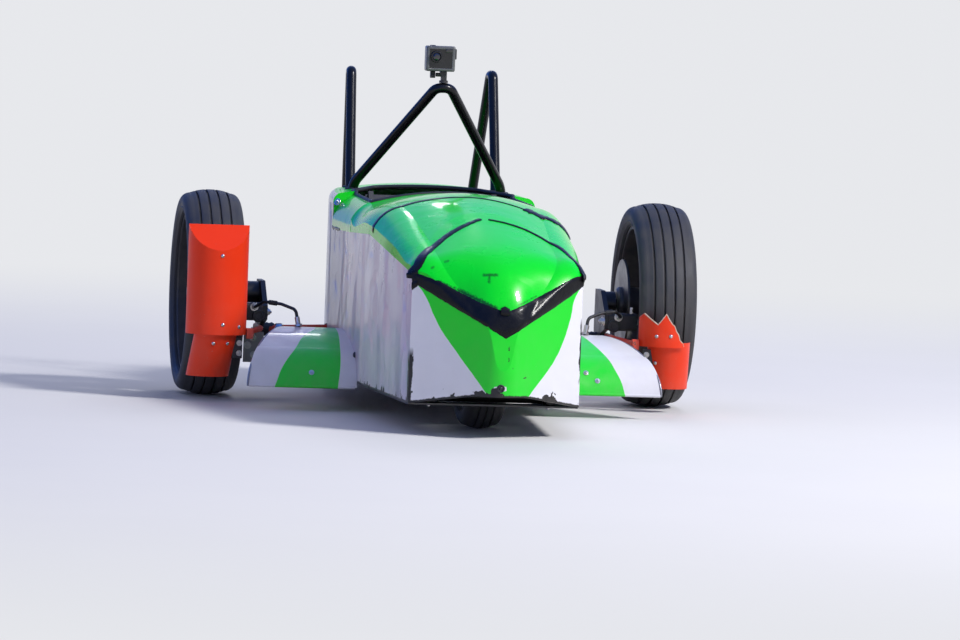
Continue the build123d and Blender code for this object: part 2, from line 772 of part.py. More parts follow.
# Small camera on the hoop's apex
stem_low = hoop_apex_z + hoop_tube_radius + 0.2
with BuildPart() as camera_mount:
    with BuildSketch(Plane.XY.offset(stem_low)):
        with Locations((0, apex_y)):
            Circle(11)
    extrude(amount=6)
    with BuildSketch(Plane.XY.offset(stem_low + 6)):
        with Locations((0, apex_y)):
            Rectangle(14, 12)
    extrude(amount=camera_stem - 6)
    with BuildSketch(Plane.YZ.offset(-20)):
        with Locations((apex_y, stem_low + 20)):
            Circle(5)
    extrude(amount=20)
save(camera_mount.part, "camera_mount")
camera_low = stem_low + camera_stem + 0.2
with BuildPart() as camera:
    with BuildSketch(Plane.XY.offset(camera_low)):
        with Locations((camera_offset, apex_y)):
            RectangleRounded(camera_width, camera_depth, 6)
    extrude(amount=camera_height)
    with BuildSketch(Plane.XZ.offset(-apex_y + camera_depth / 2)):
        with Locations((camera_offset - camera_width * 0.16, camera_low + camera_height * 0.56)):
            Circle(14)
    extrude(amount=9)
save(camera.part, "camera")

# Suspension: arms from posts inside the body to the uprights, and what those carry
arm_cuts = {}
for side, sign in side_signs:
    with BuildPart() as arm_posts:
        for offset in (-arm_spread, arm_spread):
            with BuildSketch(Plane.XY.offset(floor_top_z + 0.2)):
                with Locations((sign * arm_post_x, at(offset))):
                    Rectangle(2 * arm_post_half, 2 * arm_post_half + 6)
            extrude(amount=upper_arm_z + 28 - floor_top_z)
    save(arm_posts.part, f"arm_posts_{side}")
    cuts = []
    with BuildPart() as arms:
        for level in (upper_arm_z, lower_arm_z):
            outer_end = (sign * (upright_x - upright_thick / 2 - 8), at(0), level)
            for offset in (-arm_spread, arm_spread):
                inner_end = (sign * (arm_post_x + arm_post_half + 0.2), at(offset), level)
                add(rod(inner_end, outer_end, arm_tube_radius))
                cuts.append(rod(inner_end, outer_end, arm_tube_radius + 4))
            with BuildSketch(Plane.YZ.offset(sign * (upright_x - upright_thick / 2 - 0.2))):
                with Locations((at(0), level)):
                    Circle(arm_tube_radius + 4)
            extrude(amount=-sign * 30)
        inner_face = Plane.YZ.offset(sign * (arm_post_x + arm_post_half + 0.2))
        split(bisect_by=inner_face, keep=Keep.TOP if sign > 0 else Keep.BOTTOM)
    save(arms.part, f"arms_{side}")
    arm_cuts[side] = cuts
    with BuildPart() as upright:
        with BuildSketch(Plane.YZ.offset(sign * (upright_x - upright_thick / 2))):
            with BuildLine():
                Polyline(
                    (at(-42), wheel_z + 34), (at(42), wheel_z + 34),
                    (at(caliper_ahead + 22), wheel_z - caliper_drop + 16),
                    (at(caliper_ahead + 22), wheel_z - caliper_drop - 18), (at(lug_ahead), wheel_z - 74),
                    (at(lug_ahead), upright_low_z), (at(-34), upright_low_z), (at(-48), wheel_z - 60), close=True,
                )
            make_face()
        extrude(amount=sign * upright_thick)
        with BuildSketch(Plane.XY.offset(upright_low_z)):
            lug_x = sign * (upright_x + upright_thick / 2 + lug_width / 2)
            with Locations((lug_x, at(lug_ahead - lug_thick / 2))):
                Rectangle(lug_width, lug_thick)
        extrude(amount=lug_height)
        with BuildSketch(Plane.YZ.offset(sign * upright_x)):
            with Locations((at(0), wheel_z)):
                Circle(30)
        extrude(amount=sign * (wheel_track / 2 - hub_inner_reach - 3 - upright_x))
        with BuildSketch(Plane.YZ.offset(sign * upright_x)):
            with Locations((at(0), wheel_z)):
                Circle(axle_radius)
        extrude(amount=sign * (wheel_track / 2 + hub_outer_reach + 16 - upright_x))
        with BuildSketch(Plane.YZ.offset(sign * (wheel_track / 2 + hub_outer_reach + 3))):
            with Locations((at(0), wheel_z)):
                RegularPolygon(19, 6)
        extrude(amount=sign * 11)
    save(upright.part, f"upright_{side}")
    disc_x = wheel_track / 2 - hub_inner_reach + disc_setback + brake_disc_thick / 2
    with BuildPart() as caliper:
        with BuildSketch(Plane.YZ.offset(sign * (upright_x + upright_thick / 2 + 0.2))):
            with Locations((at(caliper_ahead), wheel_z - caliper_drop)):
                RectangleRounded(caliper_length, caliper_height, 8)
        extrude(amount=sign * (disc_x + caliper_width / 2 - upright_x - upright_thick / 2))
        with BuildSketch(Plane.YZ.offset(sign * (disc_x - caliper_slot / 2))):
            with Locations((at(0), wheel_z)):
                Circle(brake_disc_radius + 6)
        extrude(amount=sign * caliper_slot, mode=Mode.SUBTRACT)
    save(caliper.part, f"caliper_{side}")

    # Side fairing in front of the arms: a quarter ellipse in side view, cut along its outer end
    across = wing_front_ahead - wing_rear_ahead
    rise = wing_top_z - wing_bottom_z

    def wing_point(turn, inset):
        turn = radians(turn)
        return (
            at(wing_rear_ahead + (across - inset) * cos(turn)),
            wing_bottom_z + (rise - inset) * sin(turn),
        )

    with BuildPart() as wing:
        with BuildSketch(Plane.YZ.offset(sign * 200)):
            with BuildLine():
                for inset in (0, wing_sheet):
                    for turn in (0, 45):
                        ThreePointArc(
                            wing_point(turn, inset), wing_point(turn + 22.5, inset),
                            wing_point(turn + 45, inset),
                        )
                for turn in (0, 90):
                    Line(wing_point(turn, 0), wing_point(turn, wing_sheet))
            make_face()
        extrude(amount=sign * 330)
        with BuildSketch(Plane.XY.offset(20)):
            with BuildLine():
                Polyline(
                    (sign * (side_half(wing_rear_ahead - 10) + 0.3), at(wing_rear_ahead - 10)),
                    (sign * (side_half(cockpit_front_ahead) + 0.3), at(cockpit_front_ahead)),
                    (sign * (side_half(wing_front_ahead + 10) + 0.3), at(wing_front_ahead + 10)),
                    (sign * (wing_front_x + 4), at(wing_front_ahead + 10)),
                    (sign * (wing_rear_x - 4), at(wing_rear_ahead - 10)), close=True,
                )
            make_face()
        extrude(amount=200, mode=Mode.INTERSECT)
    save(wing.part, f"wing_{side}")

    # Brake hose from the caliper to the top of the side fairing
    hose_points = [(sign * x, at(ahead), z) for x, ahead, z in hose_route]
    hose = tube_path(hose_points, hose_radii, hose_radius)
    save(hose, f"brake_hose_{side}")

for side, sign in side_signs:
    with BuildPart() as side_panel:
        add(side_band)
        add(cowl_shell & below_line)
        split(bisect_by=Plane.YZ, keep=Keep.TOP if sign > 0 else Keep.BOTTOM)
        for cut in arm_cuts[side]:
            add(cut, mode=Mode.SUBTRACT)
    save(side_panel.part, f"side_panel_{side}")
    with BuildPart() as tail_side:
        add(tail_shell & tail_side_zone)
        split(bisect_by=Plane.YZ, keep=Keep.TOP if sign > 0 else Keep.BOTTOM)
        for cut in arm_cuts[side]:
            add(cut, mode=Mode.SUBTRACT)
    save(tail_side.part, f"tail_side_{side}")

# Mudguards: half-round sheets in front of the rear wheels


def guard_round(half_width, rise, back, inset):
    """The half-round plan of a mudguard: crest forward, open side towards the tyre."""
    with BuildSketch() as plan:
        with BuildLine():
            ThreePointArc(
                (-half_width + inset, at(back)), (0, at(back + rise - inset)), (half_width - inset, at(back)),
            )
            Line((-half_width + inset, at(back)), (half_width - inset, at(back)))
        make_face()
    return plan.sketch


upper_rise = guard_crest_ahead - guard_back_ahead
cap_run = guard_crest_ahead - guard_back_ahead
cap_slope = (guard_rear_top_z - guard_front_top_z) / cap_run
for side, sign in side_signs:
    guard_x = sign * wheel_track / 2
    cap_outer = side_prism(
        [(guard_back_ahead - 60, guard_rear_top_z + 60 * cap_slope), (guard_crest_ahead + 20,
         guard_front_top_z - 20 * cap_slope), (guard_crest_ahead + 20, 700), (guard_back_ahead - 60, 700)],
        -200, 200,
    )
    cap_drop = guard_sheet * hypot(1, cap_slope)
    with BuildPart() as shell:
        with BuildSketch(Plane.XY.offset(guard_joint_z)):
            add(guard_round(guard_top_half_width, upper_rise, guard_back_ahead, 0))
        extrude(amount=guard_rear_top_z - guard_joint_z + 40)
        add(cap_outer, mode=Mode.SUBTRACT)
    with BuildPart() as hollow:
        with BuildSketch(Plane.XY.offset(guard_joint_z - 10)):
            add(guard_round(guard_top_half_width, upper_rise, guard_back_ahead, guard_sheet))
            with Locations((0, at(guard_back_ahead - 15))):
                Rectangle(2 * (guard_top_half_width - guard_sheet), 30)
        extrude(amount=guard_rear_top_z - guard_joint_z + 60)
        add(cap_outer.moved(Location((0, 0, -cap_drop))), mode=Mode.SUBTRACT)
    with BuildPart() as upper_guard:
        add(shell.part)
        add(hollow.part, mode=Mode.SUBTRACT)
        if side == "left":
            with BuildSketch(Plane.XZ.offset(-at(guard_back_ahead - 40))):
                with BuildLine():
                    Polyline(*torn_edge, (120, 600), (-120, 600), close=True)
                make_face()
            extrude(amount=160, mode=Mode.SUBTRACT)
    save(upper_guard.part.moved(Location((guard_x, 0, 0))), f"mudguard_upper_{side}")
    lean = (sign * guard_bent_out[side], guard_lower_lean, -(guard_joint_z + guard_lap - guard_bottom_z))
    lower_top = guard_joint_z + guard_lap
    lower_crest = guard_crest_ahead - guard_sheet - 0.3
    lower_rise = 48
    with BuildPart() as lower_guard:
        with BuildSketch(Plane.XY.offset(lower_top)):
            add(guard_round(guard_low_half_width, lower_rise, lower_crest - lower_rise, 0))
            add(guard_round(guard_low_half_width, lower_rise, lower_crest - lower_rise, guard_sheet),
                mode=Mode.SUBTRACT)
        extrude(amount=hypot(*lean), dir=lean)
    save(lower_guard.part.moved(Location((guard_x, 0, 0))), f"mudguard_lower_{side}")
    bracket_points = [(sign * x, at(ahead), z) for x, ahead, z in guard_bracket_route]
    with BuildPart() as guard_bracket:
        add(tube_path(bracket_points, guard_bracket_radii, guard_bracket_radius))
        with BuildSketch(Plane.YZ.offset(sign * (wheel_track / 2 - guard_top_half_width - 0.3))):
            with Locations((at(guard_back_ahead + 6), guard_bracket_route[-1][2])):
                RectangleRounded(18, 26, 3)
        extrude(amount=-sign * 16)
    save(guard_bracket.part, f"guard_bracket_{side}")
print("built")
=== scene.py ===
import math
import random

import bmesh
import bpy
from mathutils import Matrix, Quaternion, Vector
from mathutils.bvhtree import BVHTree


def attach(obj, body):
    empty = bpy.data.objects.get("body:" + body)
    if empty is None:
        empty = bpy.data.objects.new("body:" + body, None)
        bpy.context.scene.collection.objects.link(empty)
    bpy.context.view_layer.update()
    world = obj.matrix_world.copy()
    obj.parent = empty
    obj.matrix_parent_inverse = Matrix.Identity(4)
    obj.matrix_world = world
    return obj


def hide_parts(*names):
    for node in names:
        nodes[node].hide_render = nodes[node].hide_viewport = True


# Looks of a three-wheeled gravity racer. It faces -Y, and its left side is +X.
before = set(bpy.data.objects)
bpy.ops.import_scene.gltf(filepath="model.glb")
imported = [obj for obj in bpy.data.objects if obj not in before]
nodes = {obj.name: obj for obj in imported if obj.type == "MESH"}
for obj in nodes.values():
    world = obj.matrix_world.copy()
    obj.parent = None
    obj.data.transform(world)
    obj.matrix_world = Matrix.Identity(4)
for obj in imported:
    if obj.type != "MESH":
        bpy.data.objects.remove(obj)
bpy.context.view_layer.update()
sides = (("right", -1), ("left", 1))
wheelPlaces = {"axleY": 0.325, "track": 0.565, "rearZ": 0.256, "wheelbase": 0.9, "frontZ": 0.2}


# Places along the car are told as distances ahead of the rear axle
def y(ahead):
    return wheelPlaces["axleY"] - ahead


def rearHub(sign):
    return Vector((sign * wheelPlaces["track"], y(0), wheelPlaces["rearZ"]))


# Camera, from low in front of the right front corner
cameraPlace = {
    "target": (0, 0.325, 0.256), "azimuth": -7.85, "elevation": 3.2, "distance": 17.0,
    "lens": 254.1, "shift": (0.0512, -0.0228), "roll": 2.12,
}


def makeCamera(place):
    azimuth = math.radians(place["azimuth"])
    elevation = math.radians(place["elevation"])
    level = math.cos(elevation)
    offset = Vector((math.sin(azimuth) * level, -math.cos(azimuth) * level, math.sin(elevation)))
    data = bpy.data.cameras.new("frontCamera")
    data.lens = place["lens"]
    data.sensor_width = 36
    data.shift_x, data.shift_y = place["shift"]
    data.clip_end = 200
    camera = bpy.data.objects.new("frontCamera", data)
    camera.location = Vector(place["target"]) + offset * place["distance"]
    turn = (-offset).to_track_quat("-Z", "Y") @ Quaternion((0, 0, 1), math.radians(place["roll"]))
    camera.rotation_euler = turn.to_euler()
    bpy.context.scene.collection.objects.link(camera)
    bpy.context.scene.camera = camera


makeCamera(cameraPlace)
bpy.context.scene.view_settings.view_transform = "Standard"


# Small helpers for shader nodes
def addNode(tree, kind, inputs=None, **settings):
    node = tree.nodes.new("ShaderNode" + kind)
    for name, value in settings.items():
        setattr(node, name, value)
    for name, value in (inputs or {}).items():
        if isinstance(value, bpy.types.NodeSocket):
            tree.links.new(value, node.inputs[name])
        else:
            node.inputs[name].default_value = value
    return node


def calc(tree, operation, *values):
    return addNode(tree, "Math", dict(enumerate(values)), operation=operation).outputs[0]


def times(tree, first, second):
    return calc(tree, "MULTIPLY", first, second)


def plus(tree, first, second):
    return calc(tree, "ADD", first, second)


def minus(tree, first, second):
    return calc(tree, "SUBTRACT", first, second)


def ramp(tree, value, low, high, atLow=0.0, atHigh=1.0, kind="LINEAR"):
    inputs = {"Value": value, "From Min": low, "From Max": high, "To Min": atLow, "To Max": atHigh}
    return addNode(tree, "MapRange", inputs, interpolation_type=kind).outputs[0]


def mixColour(tree, factor, first, second, blend="MIX"):
    inputs = {0: factor, 6: first, 7: second}
    return addNode(tree, "Mix", inputs, data_type="RGBA", blend_type=blend).outputs[2]


def colour(red, green, blue):
    return (red, green, blue, 1)


def grey(level):
    return colour(level, level, level)


def objectPlace(tree):
    return addNode(tree, "TexCoord").outputs["Object"]


def placeAxes(tree):
    return addNode(tree, "SeparateXYZ", {0: objectPlace(tree)}).outputs


def noiseField(tree, place, scale, detail=4, roughness=0.55):
    return addNode(tree, "TexNoise", {
        "Vector": place, "Scale": scale, "Detail": detail, "Roughness": roughness,
    }).outputs["Fac"]


def stretched(tree, place, scale):
    return addNode(tree, "Mapping", {"Vector": place, "Scale": scale}).outputs[0]


def startGroup(name, inputs, outputs):
    group = bpy.data.node_groups.new(name, "ShaderNodeTree")
    for socketName, value in inputs.items():
        kind = "NodeSocketVector" if isinstance(value, tuple) else "NodeSocketFloat"
        socket = group.interface.new_socket(name=socketName, in_out="INPUT", socket_type=kind)
        socket.default_value = value
    for socketName in outputs:
        group.interface.new_socket(name=socketName, in_out="OUTPUT", socket_type="NodeSocketFloat")
    given = group.nodes.new("NodeGroupInput").outputs
    return group, given, group.nodes.new("NodeGroupOutput").inputs


def useGroup(tree, group, **values):
    return addNode(tree, "Group", values, node_tree=group).outputs


# Road dust: thickest near the ground, broken up by noise
def makeRoadDust():
    group, given, result = startGroup(
        "roadDust", {"low": 0.05, "high": 0.3, "amount": 0.5, "scale": 18.0}, ["mask"],
    )
    place = objectPlace(group)
    near = ramp(group, placeAxes(group)[2], given["high"], given["low"])
    speckle = ramp(group, noiseField(group, place, given["scale"], 7, 0.62), 0.36, 0.68)
    streak = noiseField(group, stretched(group, place, (2.2, 2.2, 0.5)), given["scale"], 3)
    film = times(group, near, plus(group, times(group, speckle, 0.75), streak))
    group.links.new(times(group, film, given["amount"]), result["mask"])
    return group


# Chipped paint: small hard-edged flakes where the noise is highest
def makePaintChips():
    inputs = {"scale": 60.0, "cover": 0.3, "near": 1.0}
    group, given, result = startGroup("paintChips", inputs, ["mask", "edge"])
    place = objectPlace(group)
    rough = noiseField(group, place, given["scale"], 8, 0.68)
    patch = noiseField(group, place, 7.0, 2)
    level = plus(group, times(group, rough, 0.72), times(group, patch, 0.28))
    line = minus(group, 0.86, times(group, times(group, given["cover"], given["near"]), 0.5))
    above = minus(group, level, line)
    group.links.new(ramp(group, above, 0.0, 0.012), result["mask"])
    group.links.new(ramp(group, above, -0.03, 0.0), result["edge"])
    return group


# Fine scratches that run mostly along one direction
def makeScratches():
    group, given, result = startGroup(
        "fineScratches", {"stretch": (60.0, 4.0, 60.0), "cover": 0.4}, ["mask"],
    )
    place = addNode(group, "Mapping", {
        "Vector": objectPlace(group), "Rotation": (0.11, 0.2, 0.16), "Scale": given["stretch"],
    }).outputs[0]
    lines = noiseField(group, place, 3.0, 6, 0.7)
    patch = ramp(group, noiseField(group, objectPlace(group), 6.0, 2), 0.4, 0.66)
    level = minus(group, 0.74, times(group, given["cover"], 0.16))
    mask = ramp(group, lines, level, plus(group, level, 0.03))
    group.links.new(times(group, mask, patch), result["mask"])
    return group


# Slack sheet metal: long soft waves and small dents, as a height
def makeSheetWaves():
    group, given, result = startGroup(
        "sheetWaves", {"scale": (3.0, 2.0, 3.5), "dents": 0.3}, ["height"],
    )
    place = objectPlace(group)
    wave = noiseField(group, stretched(group, place, given["scale"]), 1.0, 1, 0.3)
    dent = ramp(group, noiseField(group, place, 16.0, 1, 0.2), 0.3, 0.5)
    total = plus(group, wave, times(group, dent, times(group, given["dents"], 0.2)))
    group.links.new(total, result["height"])
    return group


# Fine surface grain of rubber, plastic and sprayed paint
def makeGrain():
    group, given, result = startGroup("surfaceGrain", {"scale": 900.0, "patch": 20.0}, ["height", "patches"])
    place = objectPlace(group)
    group.links.new(noiseField(group, place, given["scale"], 3, 0.6), result["height"])
    group.links.new(noiseField(group, place, given["patch"], 4, 0.6), result["patches"])
    return group


# A soft-edged band: one inside low and high, zero outside
def makeBand():
    inputs = {"value": 0.0, "low": 0.0, "high": 1.0, "soft": 0.002}
    group, given, result = startGroup("paintBand", inputs, ["mask"])
    rise = ramp(group, given["value"], given["low"], plus(group, given["low"], given["soft"]))
    start = minus(group, given["high"], given["soft"])
    fall = ramp(group, given["value"], start, given["high"], 1.0, 0.0)
    group.links.new(times(group, rise, fall), result["mask"])
    return group


# A ragged scuff along a line between two spots of the front view
def makeStroke():
    group, given, result = startGroup("scuffStroke", {
        "start": (0.0, 0.0, 0.0), "end": (0.0, 0.0, 0.01),
        "wide": 0.002, "rough": 0.004, "scale": 260.0, "soft": 0.0006,
    }, ["mask"])

    def vector(operation, *values, output="Vector"):
        return addNode(group, "VectorMath", dict(enumerate(values)), operation=operation).outputs[output]

    place = objectPlace(group)
    flat = vector("MULTIPLY", place, (1.0, 0.0, 1.0))
    line = vector("SUBTRACT", given["end"], given["start"])
    way = vector("SUBTRACT", flat, given["start"])
    length = plus(group, vector("DOT_PRODUCT", line, line, output="Value"), 0.000001)
    ahead = vector("DOT_PRODUCT", way, line, output="Value")
    share = ramp(group, calc(group, "DIVIDE", ahead, length), 0.0, 1.0)
    along = vector("MULTIPLY", line, addNode(group, "CombineXYZ", {0: share, 1: share, 2: share}).outputs[0])
    distance = vector("LENGTH", vector("SUBTRACT", way, along), output="Value")
    wobble = minus(group, noiseField(group, place, given["scale"], 4, 0.7), 0.5)
    reach = minus(group, plus(group, distance, times(group, wobble, given["rough"])), given["wide"])
    group.links.new(ramp(group, reach, given["soft"], times(group, given["soft"], -1.0)), result["mask"])
    return group


# Woven cloth: two crossed sets of threads
def makeWeave():
    group, given, result = startGroup("wovenThreads", {"threads": 900.0}, ["height", "shade"])
    place = objectPlace(group)
    waves = []
    for direction in ("X", "Z"):
        waves.append(addNode(group, "TexWave", {
            "Vector": place, "Scale": given["threads"], "Distortion": 0.6, "Detail": 1.0,
        }, bands_direction=direction).outputs["Fac"])
    group.links.new(calc(group, "MAXIMUM", *waves), result["height"])
    group.links.new(noiseField(group, place, 30.0, 5), result["shade"])
    return group


roadDust = makeRoadDust()
paintChips = makePaintChips()
fineScratches = makeScratches()
sheetWaves = makeSheetWaves()
surfaceGrain = makeGrain()
paintBand = makeBand()
scuffStroke = makeStroke()
wovenThreads = makeWeave()
print("shader groups made")


def startMaterial(name, base, rough, **settings):
    material = bpy.data.materials.new(name)
    material.use_nodes = True
    tree = material.node_tree
    shader = tree.nodes["Principled BSDF"]
    shader.inputs["Base Color"].default_value = base
    shader.inputs["Roughness"].default_value = rough
    for socketName, value in settings.items():
        shader.inputs[socketName.replace("_", " ")].default_value = value
    return material, tree, shader


def addBump(tree, shader, height, strength, distance):
    bump = addNode(tree, "Bump", {"Height": height, "Strength": strength, "Distance": distance})
    tree.links.new(bump.outputs[0], shader.inputs["Normal"])


dustColour = colour(0.33, 0.29, 0.24)
fadedTone = colour(0.16, 0.17, 0.15)
bareMetal = colour(0.3, 0.3, 0.31)
bodyGreen = colour(0.0, 0.70, 0.016)
bodyWhite = colour(0.76, 0.76, 0.82)
guardOrange = colour(0.86, 0.040, 0.003)
trimBlack = colour(0.004, 0.004, 0.005)


# Sprayed sheet metal. paint is a colour or makes one, and near gathers the chips.
def paintedSheet(
    name, paint, rough, waves, waveDepth, dust, chips, chipColour, coat=0.6, near=1.0, gloss=0.3, creases=0.0,
):
    material, tree, shader = startMaterial(
        name, paint if isinstance(paint, tuple) else bodyWhite, rough,
        Coat_Weight=coat, Coat_Roughness=0.06, Specular_IOR_Level=gloss,
    )
    if callable(paint):
        paint = paint(tree)
    if callable(near):
        near = near(tree)
    grain = useGroup(tree, surfaceGrain, scale=420.0, patch=9.0)
    faded = mixColour(tree, times(tree, grain["patches"], 0.22), paint, fadedTone, "OVERLAY")
    chip = useGroup(tree, paintChips, scale=70.0, cover=chips, near=near)
    chipped = mixColour(tree, chip["mask"], faded, chipColour)
    scratch = useGroup(tree, fineScratches, stretch=(50.0, 5.0, 50.0), cover=0.5)["mask"]
    scratched = mixColour(tree, times(tree, scratch, 0.3), chipped, grey(0.4))
    film = useGroup(tree, roadDust, low=0.03, high=0.34, amount=dust, scale=20.0)["mask"]
    tree.links.new(mixColour(tree, film, scratched, dustColour), shader.inputs["Base Color"])
    dull = plus(tree, times(tree, film, 0.5), times(tree, chip["mask"], 0.4))
    uneven = plus(tree, rough, times(tree, grain["patches"], 0.08))
    tree.links.new(plus(tree, uneven, dull), shader.inputs["Roughness"])
    tree.links.new(ramp(tree, dull, 0.0, 0.5, coat, 0.0), shader.inputs["Coat Weight"])
    wave = useGroup(tree, sheetWaves, scale=waves, dents=0.35)["height"]
    if creases:
        ridge = noiseField(tree, stretched(tree, objectPlace(tree), (1, 4.0, 0.9)), 1.0, 1, 0.3)
        away = calc(tree, "ABSOLUTE", minus(tree, ridge, 0.5))
        ridge = ramp(tree, away, 0.0, 0.10, 1.0, 0.0, "SMOOTHSTEP")
        wave = plus(tree, wave, times(tree, ridge, creases))
    layers = plus(tree, wave, times(tree, chip["edge"], -0.004))
    layers = plus(tree, layers, times(tree, grain["height"], 0.0012))
    addBump(tree, shader, layers, 1.0, waveDepth)
    return material


def lowEdge(low, high):
    def near(tree):
        return ramp(tree, placeAxes(tree)[2], high, low, 0.15, 1.9)
    return near


# Widths that change with height, as (z, width) points from the ground up
def heightCurve(tree, height, places, reach):
    low, high = places[0][0], places[-1][0]
    curve = addNode(tree, "FloatCurve", {"Value": ramp(tree, height, low, high)})
    points = curve.mapping.curves[0].points
    spots = [((z - low) / (high - low), width / reach) for z, width in places]
    points[0].location = spots[0]
    points[1].location = spots[-1]
    for spot in spots[1:-1]:
        points.new(*spot)
    for point in points:
        point.handle_type = "AUTO_CLAMPED"
    curve.mapping.update()
    return times(tree, curve.outputs[0], reach)


# The nose's lower front: a green wedge between white corners, scuffed black along the bottom
wedgeEdges = {
    "left": ((0.07, 0.052), (0.102, 0.068), (0.155, 0.111), (0.208, 0.146), (0.28, 0.172), (0.33, 0.182),
             (0.42, 0.26)),
    "right": ((0.07, 0.012), (0.10, 0.031), (0.17, 0.081), (0.254, 0.140), (0.34, 0.183), (0.42, 0.26)),
    "widest": 0.26, "wobble": 0.004,
}
noseScuff = {
    "bottom": 0.0745, "tip": 0.101, "corner": 0.815, "slope": 0.25, "rise": 0.008, "grain": 90.0,
    "peak": 0.032, "patch": 26.0,
}
# Paint split off the upright corners, as (side, where the face ends, low, high)
noseSplits = ((1.0, 0.1990, 0.125, 0.285), (-1.0, 0.1945, 0.055, 0.205))
# Strokes as (start x, z, end x, z, half width, raggedness)
noseMarks = (
    (0.0120, 0.2190, 0.0122, 0.2110, 0.0010, 0.009), (0.0125, 0.1930, 0.0129, 0.1850, 0.0008, 0.009),
    (0.0530, 0.1462, 0.0585, 0.1476, 0.0013, 0.005), (0.0230, 0.1700, 0.0235, 0.1690, 0.0010, 0.002),
)
tipPatch = (-0.0160, 0.1205, 0.0040, 0.1215, 0.0056, 0.007)
domeMarks = (
    (-0.0432, 0.3816, -0.0136, 0.3829, 0.0024, 0.009), (-0.0310, 0.3820, -0.0330, 0.3660, 0.0020, 0.010),
    (-0.1594, 0.3918, -0.1560, 0.3940, 0.0016, 0.005), (-0.1277, 0.4061, -0.1200, 0.4090, 0.0012, 0.006),
    (-0.1450, 0.3640, -0.0984, 0.3440, 0.0010, 0.018), (-0.0984, 0.3430, -0.0200, 0.3070, 0.0044, 0.018),
    (0.0350, 0.3160, 0.0800, 0.3360, 0.0006, 0.012),
)


def strokeMask(tree, marks, soft=0.0006):
    mask = None
    for xa, za, xb, zb, wide, rough in marks:
        shape = {"start": (xa, 0, za), "end": (xb, 0, zb), "wide": wide, "rough": rough, "soft": soft}
        stroke = useGroup(tree, scuffStroke, **shape)["mask"]
        mask = stroke if mask is None else calc(tree, "MAXIMUM", mask, stroke)
    return mask


def domePaint(tree):
    return mixColour(tree, times(tree, strokeMask(tree, domeMarks, 0.0024), 0.85), bodyGreen, trimBlack)


def wedgePaint(tree):
    x, y, z = placeAxes(tree)
    place = objectPlace(tree)
    leftEdge = heightCurve(tree, z, wedgeEdges["left"], wedgeEdges["widest"])
    rightEdge = heightCurve(tree, z, wedgeEdges["right"], wedgeEdges["widest"])
    wobble = times(tree, minus(tree, noiseField(tree, place, 30.0, 2), 0.5), wedgeEdges["wobble"])
    low = plus(tree, times(tree, rightEdge, -1.0), wobble)
    high = plus(tree, leftEdge, wobble)
    green = useGroup(tree, paintBand, value=x, low=low, high=high, soft=0.0015)["mask"]
    paint = mixColour(tree, green, bodyWhite, bodyGreen)
    paint = mixColour(tree, strokeMask(tree, [tipPatch]), paint, bodyWhite)
    # the bottom edge rises towards the tip
    climb = times(tree, plus(tree, y, noseScuff["corner"]), -noseScuff["slope"])
    edge = calc(tree, "MINIMUM", plus(tree, noseScuff["bottom"], climb), noseScuff["tip"])
    fine = times(tree, noiseField(tree, place, noseScuff["grain"], 6, 0.7), noseScuff["rise"])
    patches = noiseField(tree, place, noseScuff["patch"], 3, 0.55)
    peaks = ramp(tree, patches, 0.535, 0.74, 0.0, noseScuff["peak"])
    rise = plus(tree, edge, plus(tree, fine, peaks))
    dark = ramp(tree, minus(tree, z, rise), 0.001, -0.001)
    tallNoise = noiseField(tree, stretched(tree, place, (1, 1, 0.3)), 60.0, 5, 0.7)
    split = times(tree, minus(tree, tallNoise, 0.5), 0.018)
    for sign, face, low, high in noseSplits:
        corner = ramp(tree, plus(tree, times(tree, x, sign), split), face, face + 0.0008)
        tall = useGroup(tree, paintBand, value=z, low=low, high=high, soft=0.02)["mask"]
        dark = calc(tree, "MAXIMUM", dark, times(tree, corner, tall))
    dark = calc(tree, "MAXIMUM", dark, strokeMask(tree, noseMarks))
    return mixColour(tree, dark, paint, trimBlack)


# White sides: dark splits low on the front corner, a scuffed bottom edge, and bands of painted highlight and
# painted shade standing for the light on the sheet's folds
sideWear = {
    "corner": -0.8165, "cornerWide": 0.034, "low": 0.05, "high": 0.20, "bottom": 0.0735, "rise": 0.008,
    "peak": 0.035,
}
# Pale tone: painted highlight on the fold crests; lavender tone: painted shade in the fold hollows
sideFoldLightAndShade = (colour(0.82, 0.81, 0.84), colour(0.58, 0.56, 0.70))


def sidePaint(tree):
    y, z = placeAxes(tree)[1:]
    place = objectPlace(tree)
    rough = noiseField(tree, stretched(tree, place, (1, 1, 0.35)), 70.0, 5, 0.7)
    near = minus(tree, y, times(tree, rough, sideWear["cornerWide"]))
    tall = useGroup(tree, paintBand, value=z, low=sideWear["low"], high=sideWear["high"], soft=0.03)["mask"]
    corner = times(tree, ramp(tree, near, sideWear["corner"], sideWear["corner"] - 0.001), tall)
    ragged = times(tree, noiseField(tree, place, 45.0, 6, 0.7), sideWear["rise"])
    patches = noiseField(tree, stretched(tree, place, (1, 1, 0.6)), 24.0, 5, 0.65)
    ragged = plus(tree, ragged, ramp(tree, patches, 0.52, 0.78, 0.0, sideWear["peak"]))
    scuff = ramp(tree, minus(tree, z, ragged), sideWear["bottom"] + 0.001, sideWear["bottom"] - 0.001)
    # Stretched noise places the painted highlight and painted shade of the folds over the white paint
    foldShadeMask = ramp(tree, noiseField(tree, stretched(tree, place, (1, 4.2, 0.9)), 1.0, 2, 0.4), 0.42, 0.58)
    sheet = mixColour(tree, foldShadeMask, *sideFoldLightAndShade)
    return mixColour(tree, calc(tree, "MAXIMUM", scuff, corner), sheet, trimBlack)


# The tail deck is green on top, and white where it rolls over to the sides
def deckPaint(tree):
    across = addNode(tree, "SeparateXYZ", {0: addNode(tree, "TexCoord").outputs["Normal"]}).outputs[0]
    side = ramp(tree, calc(tree, "ABSOLUTE", across), 0.50, 0.53)
    return mixColour(tree, side, bodyGreen, bodyWhite)


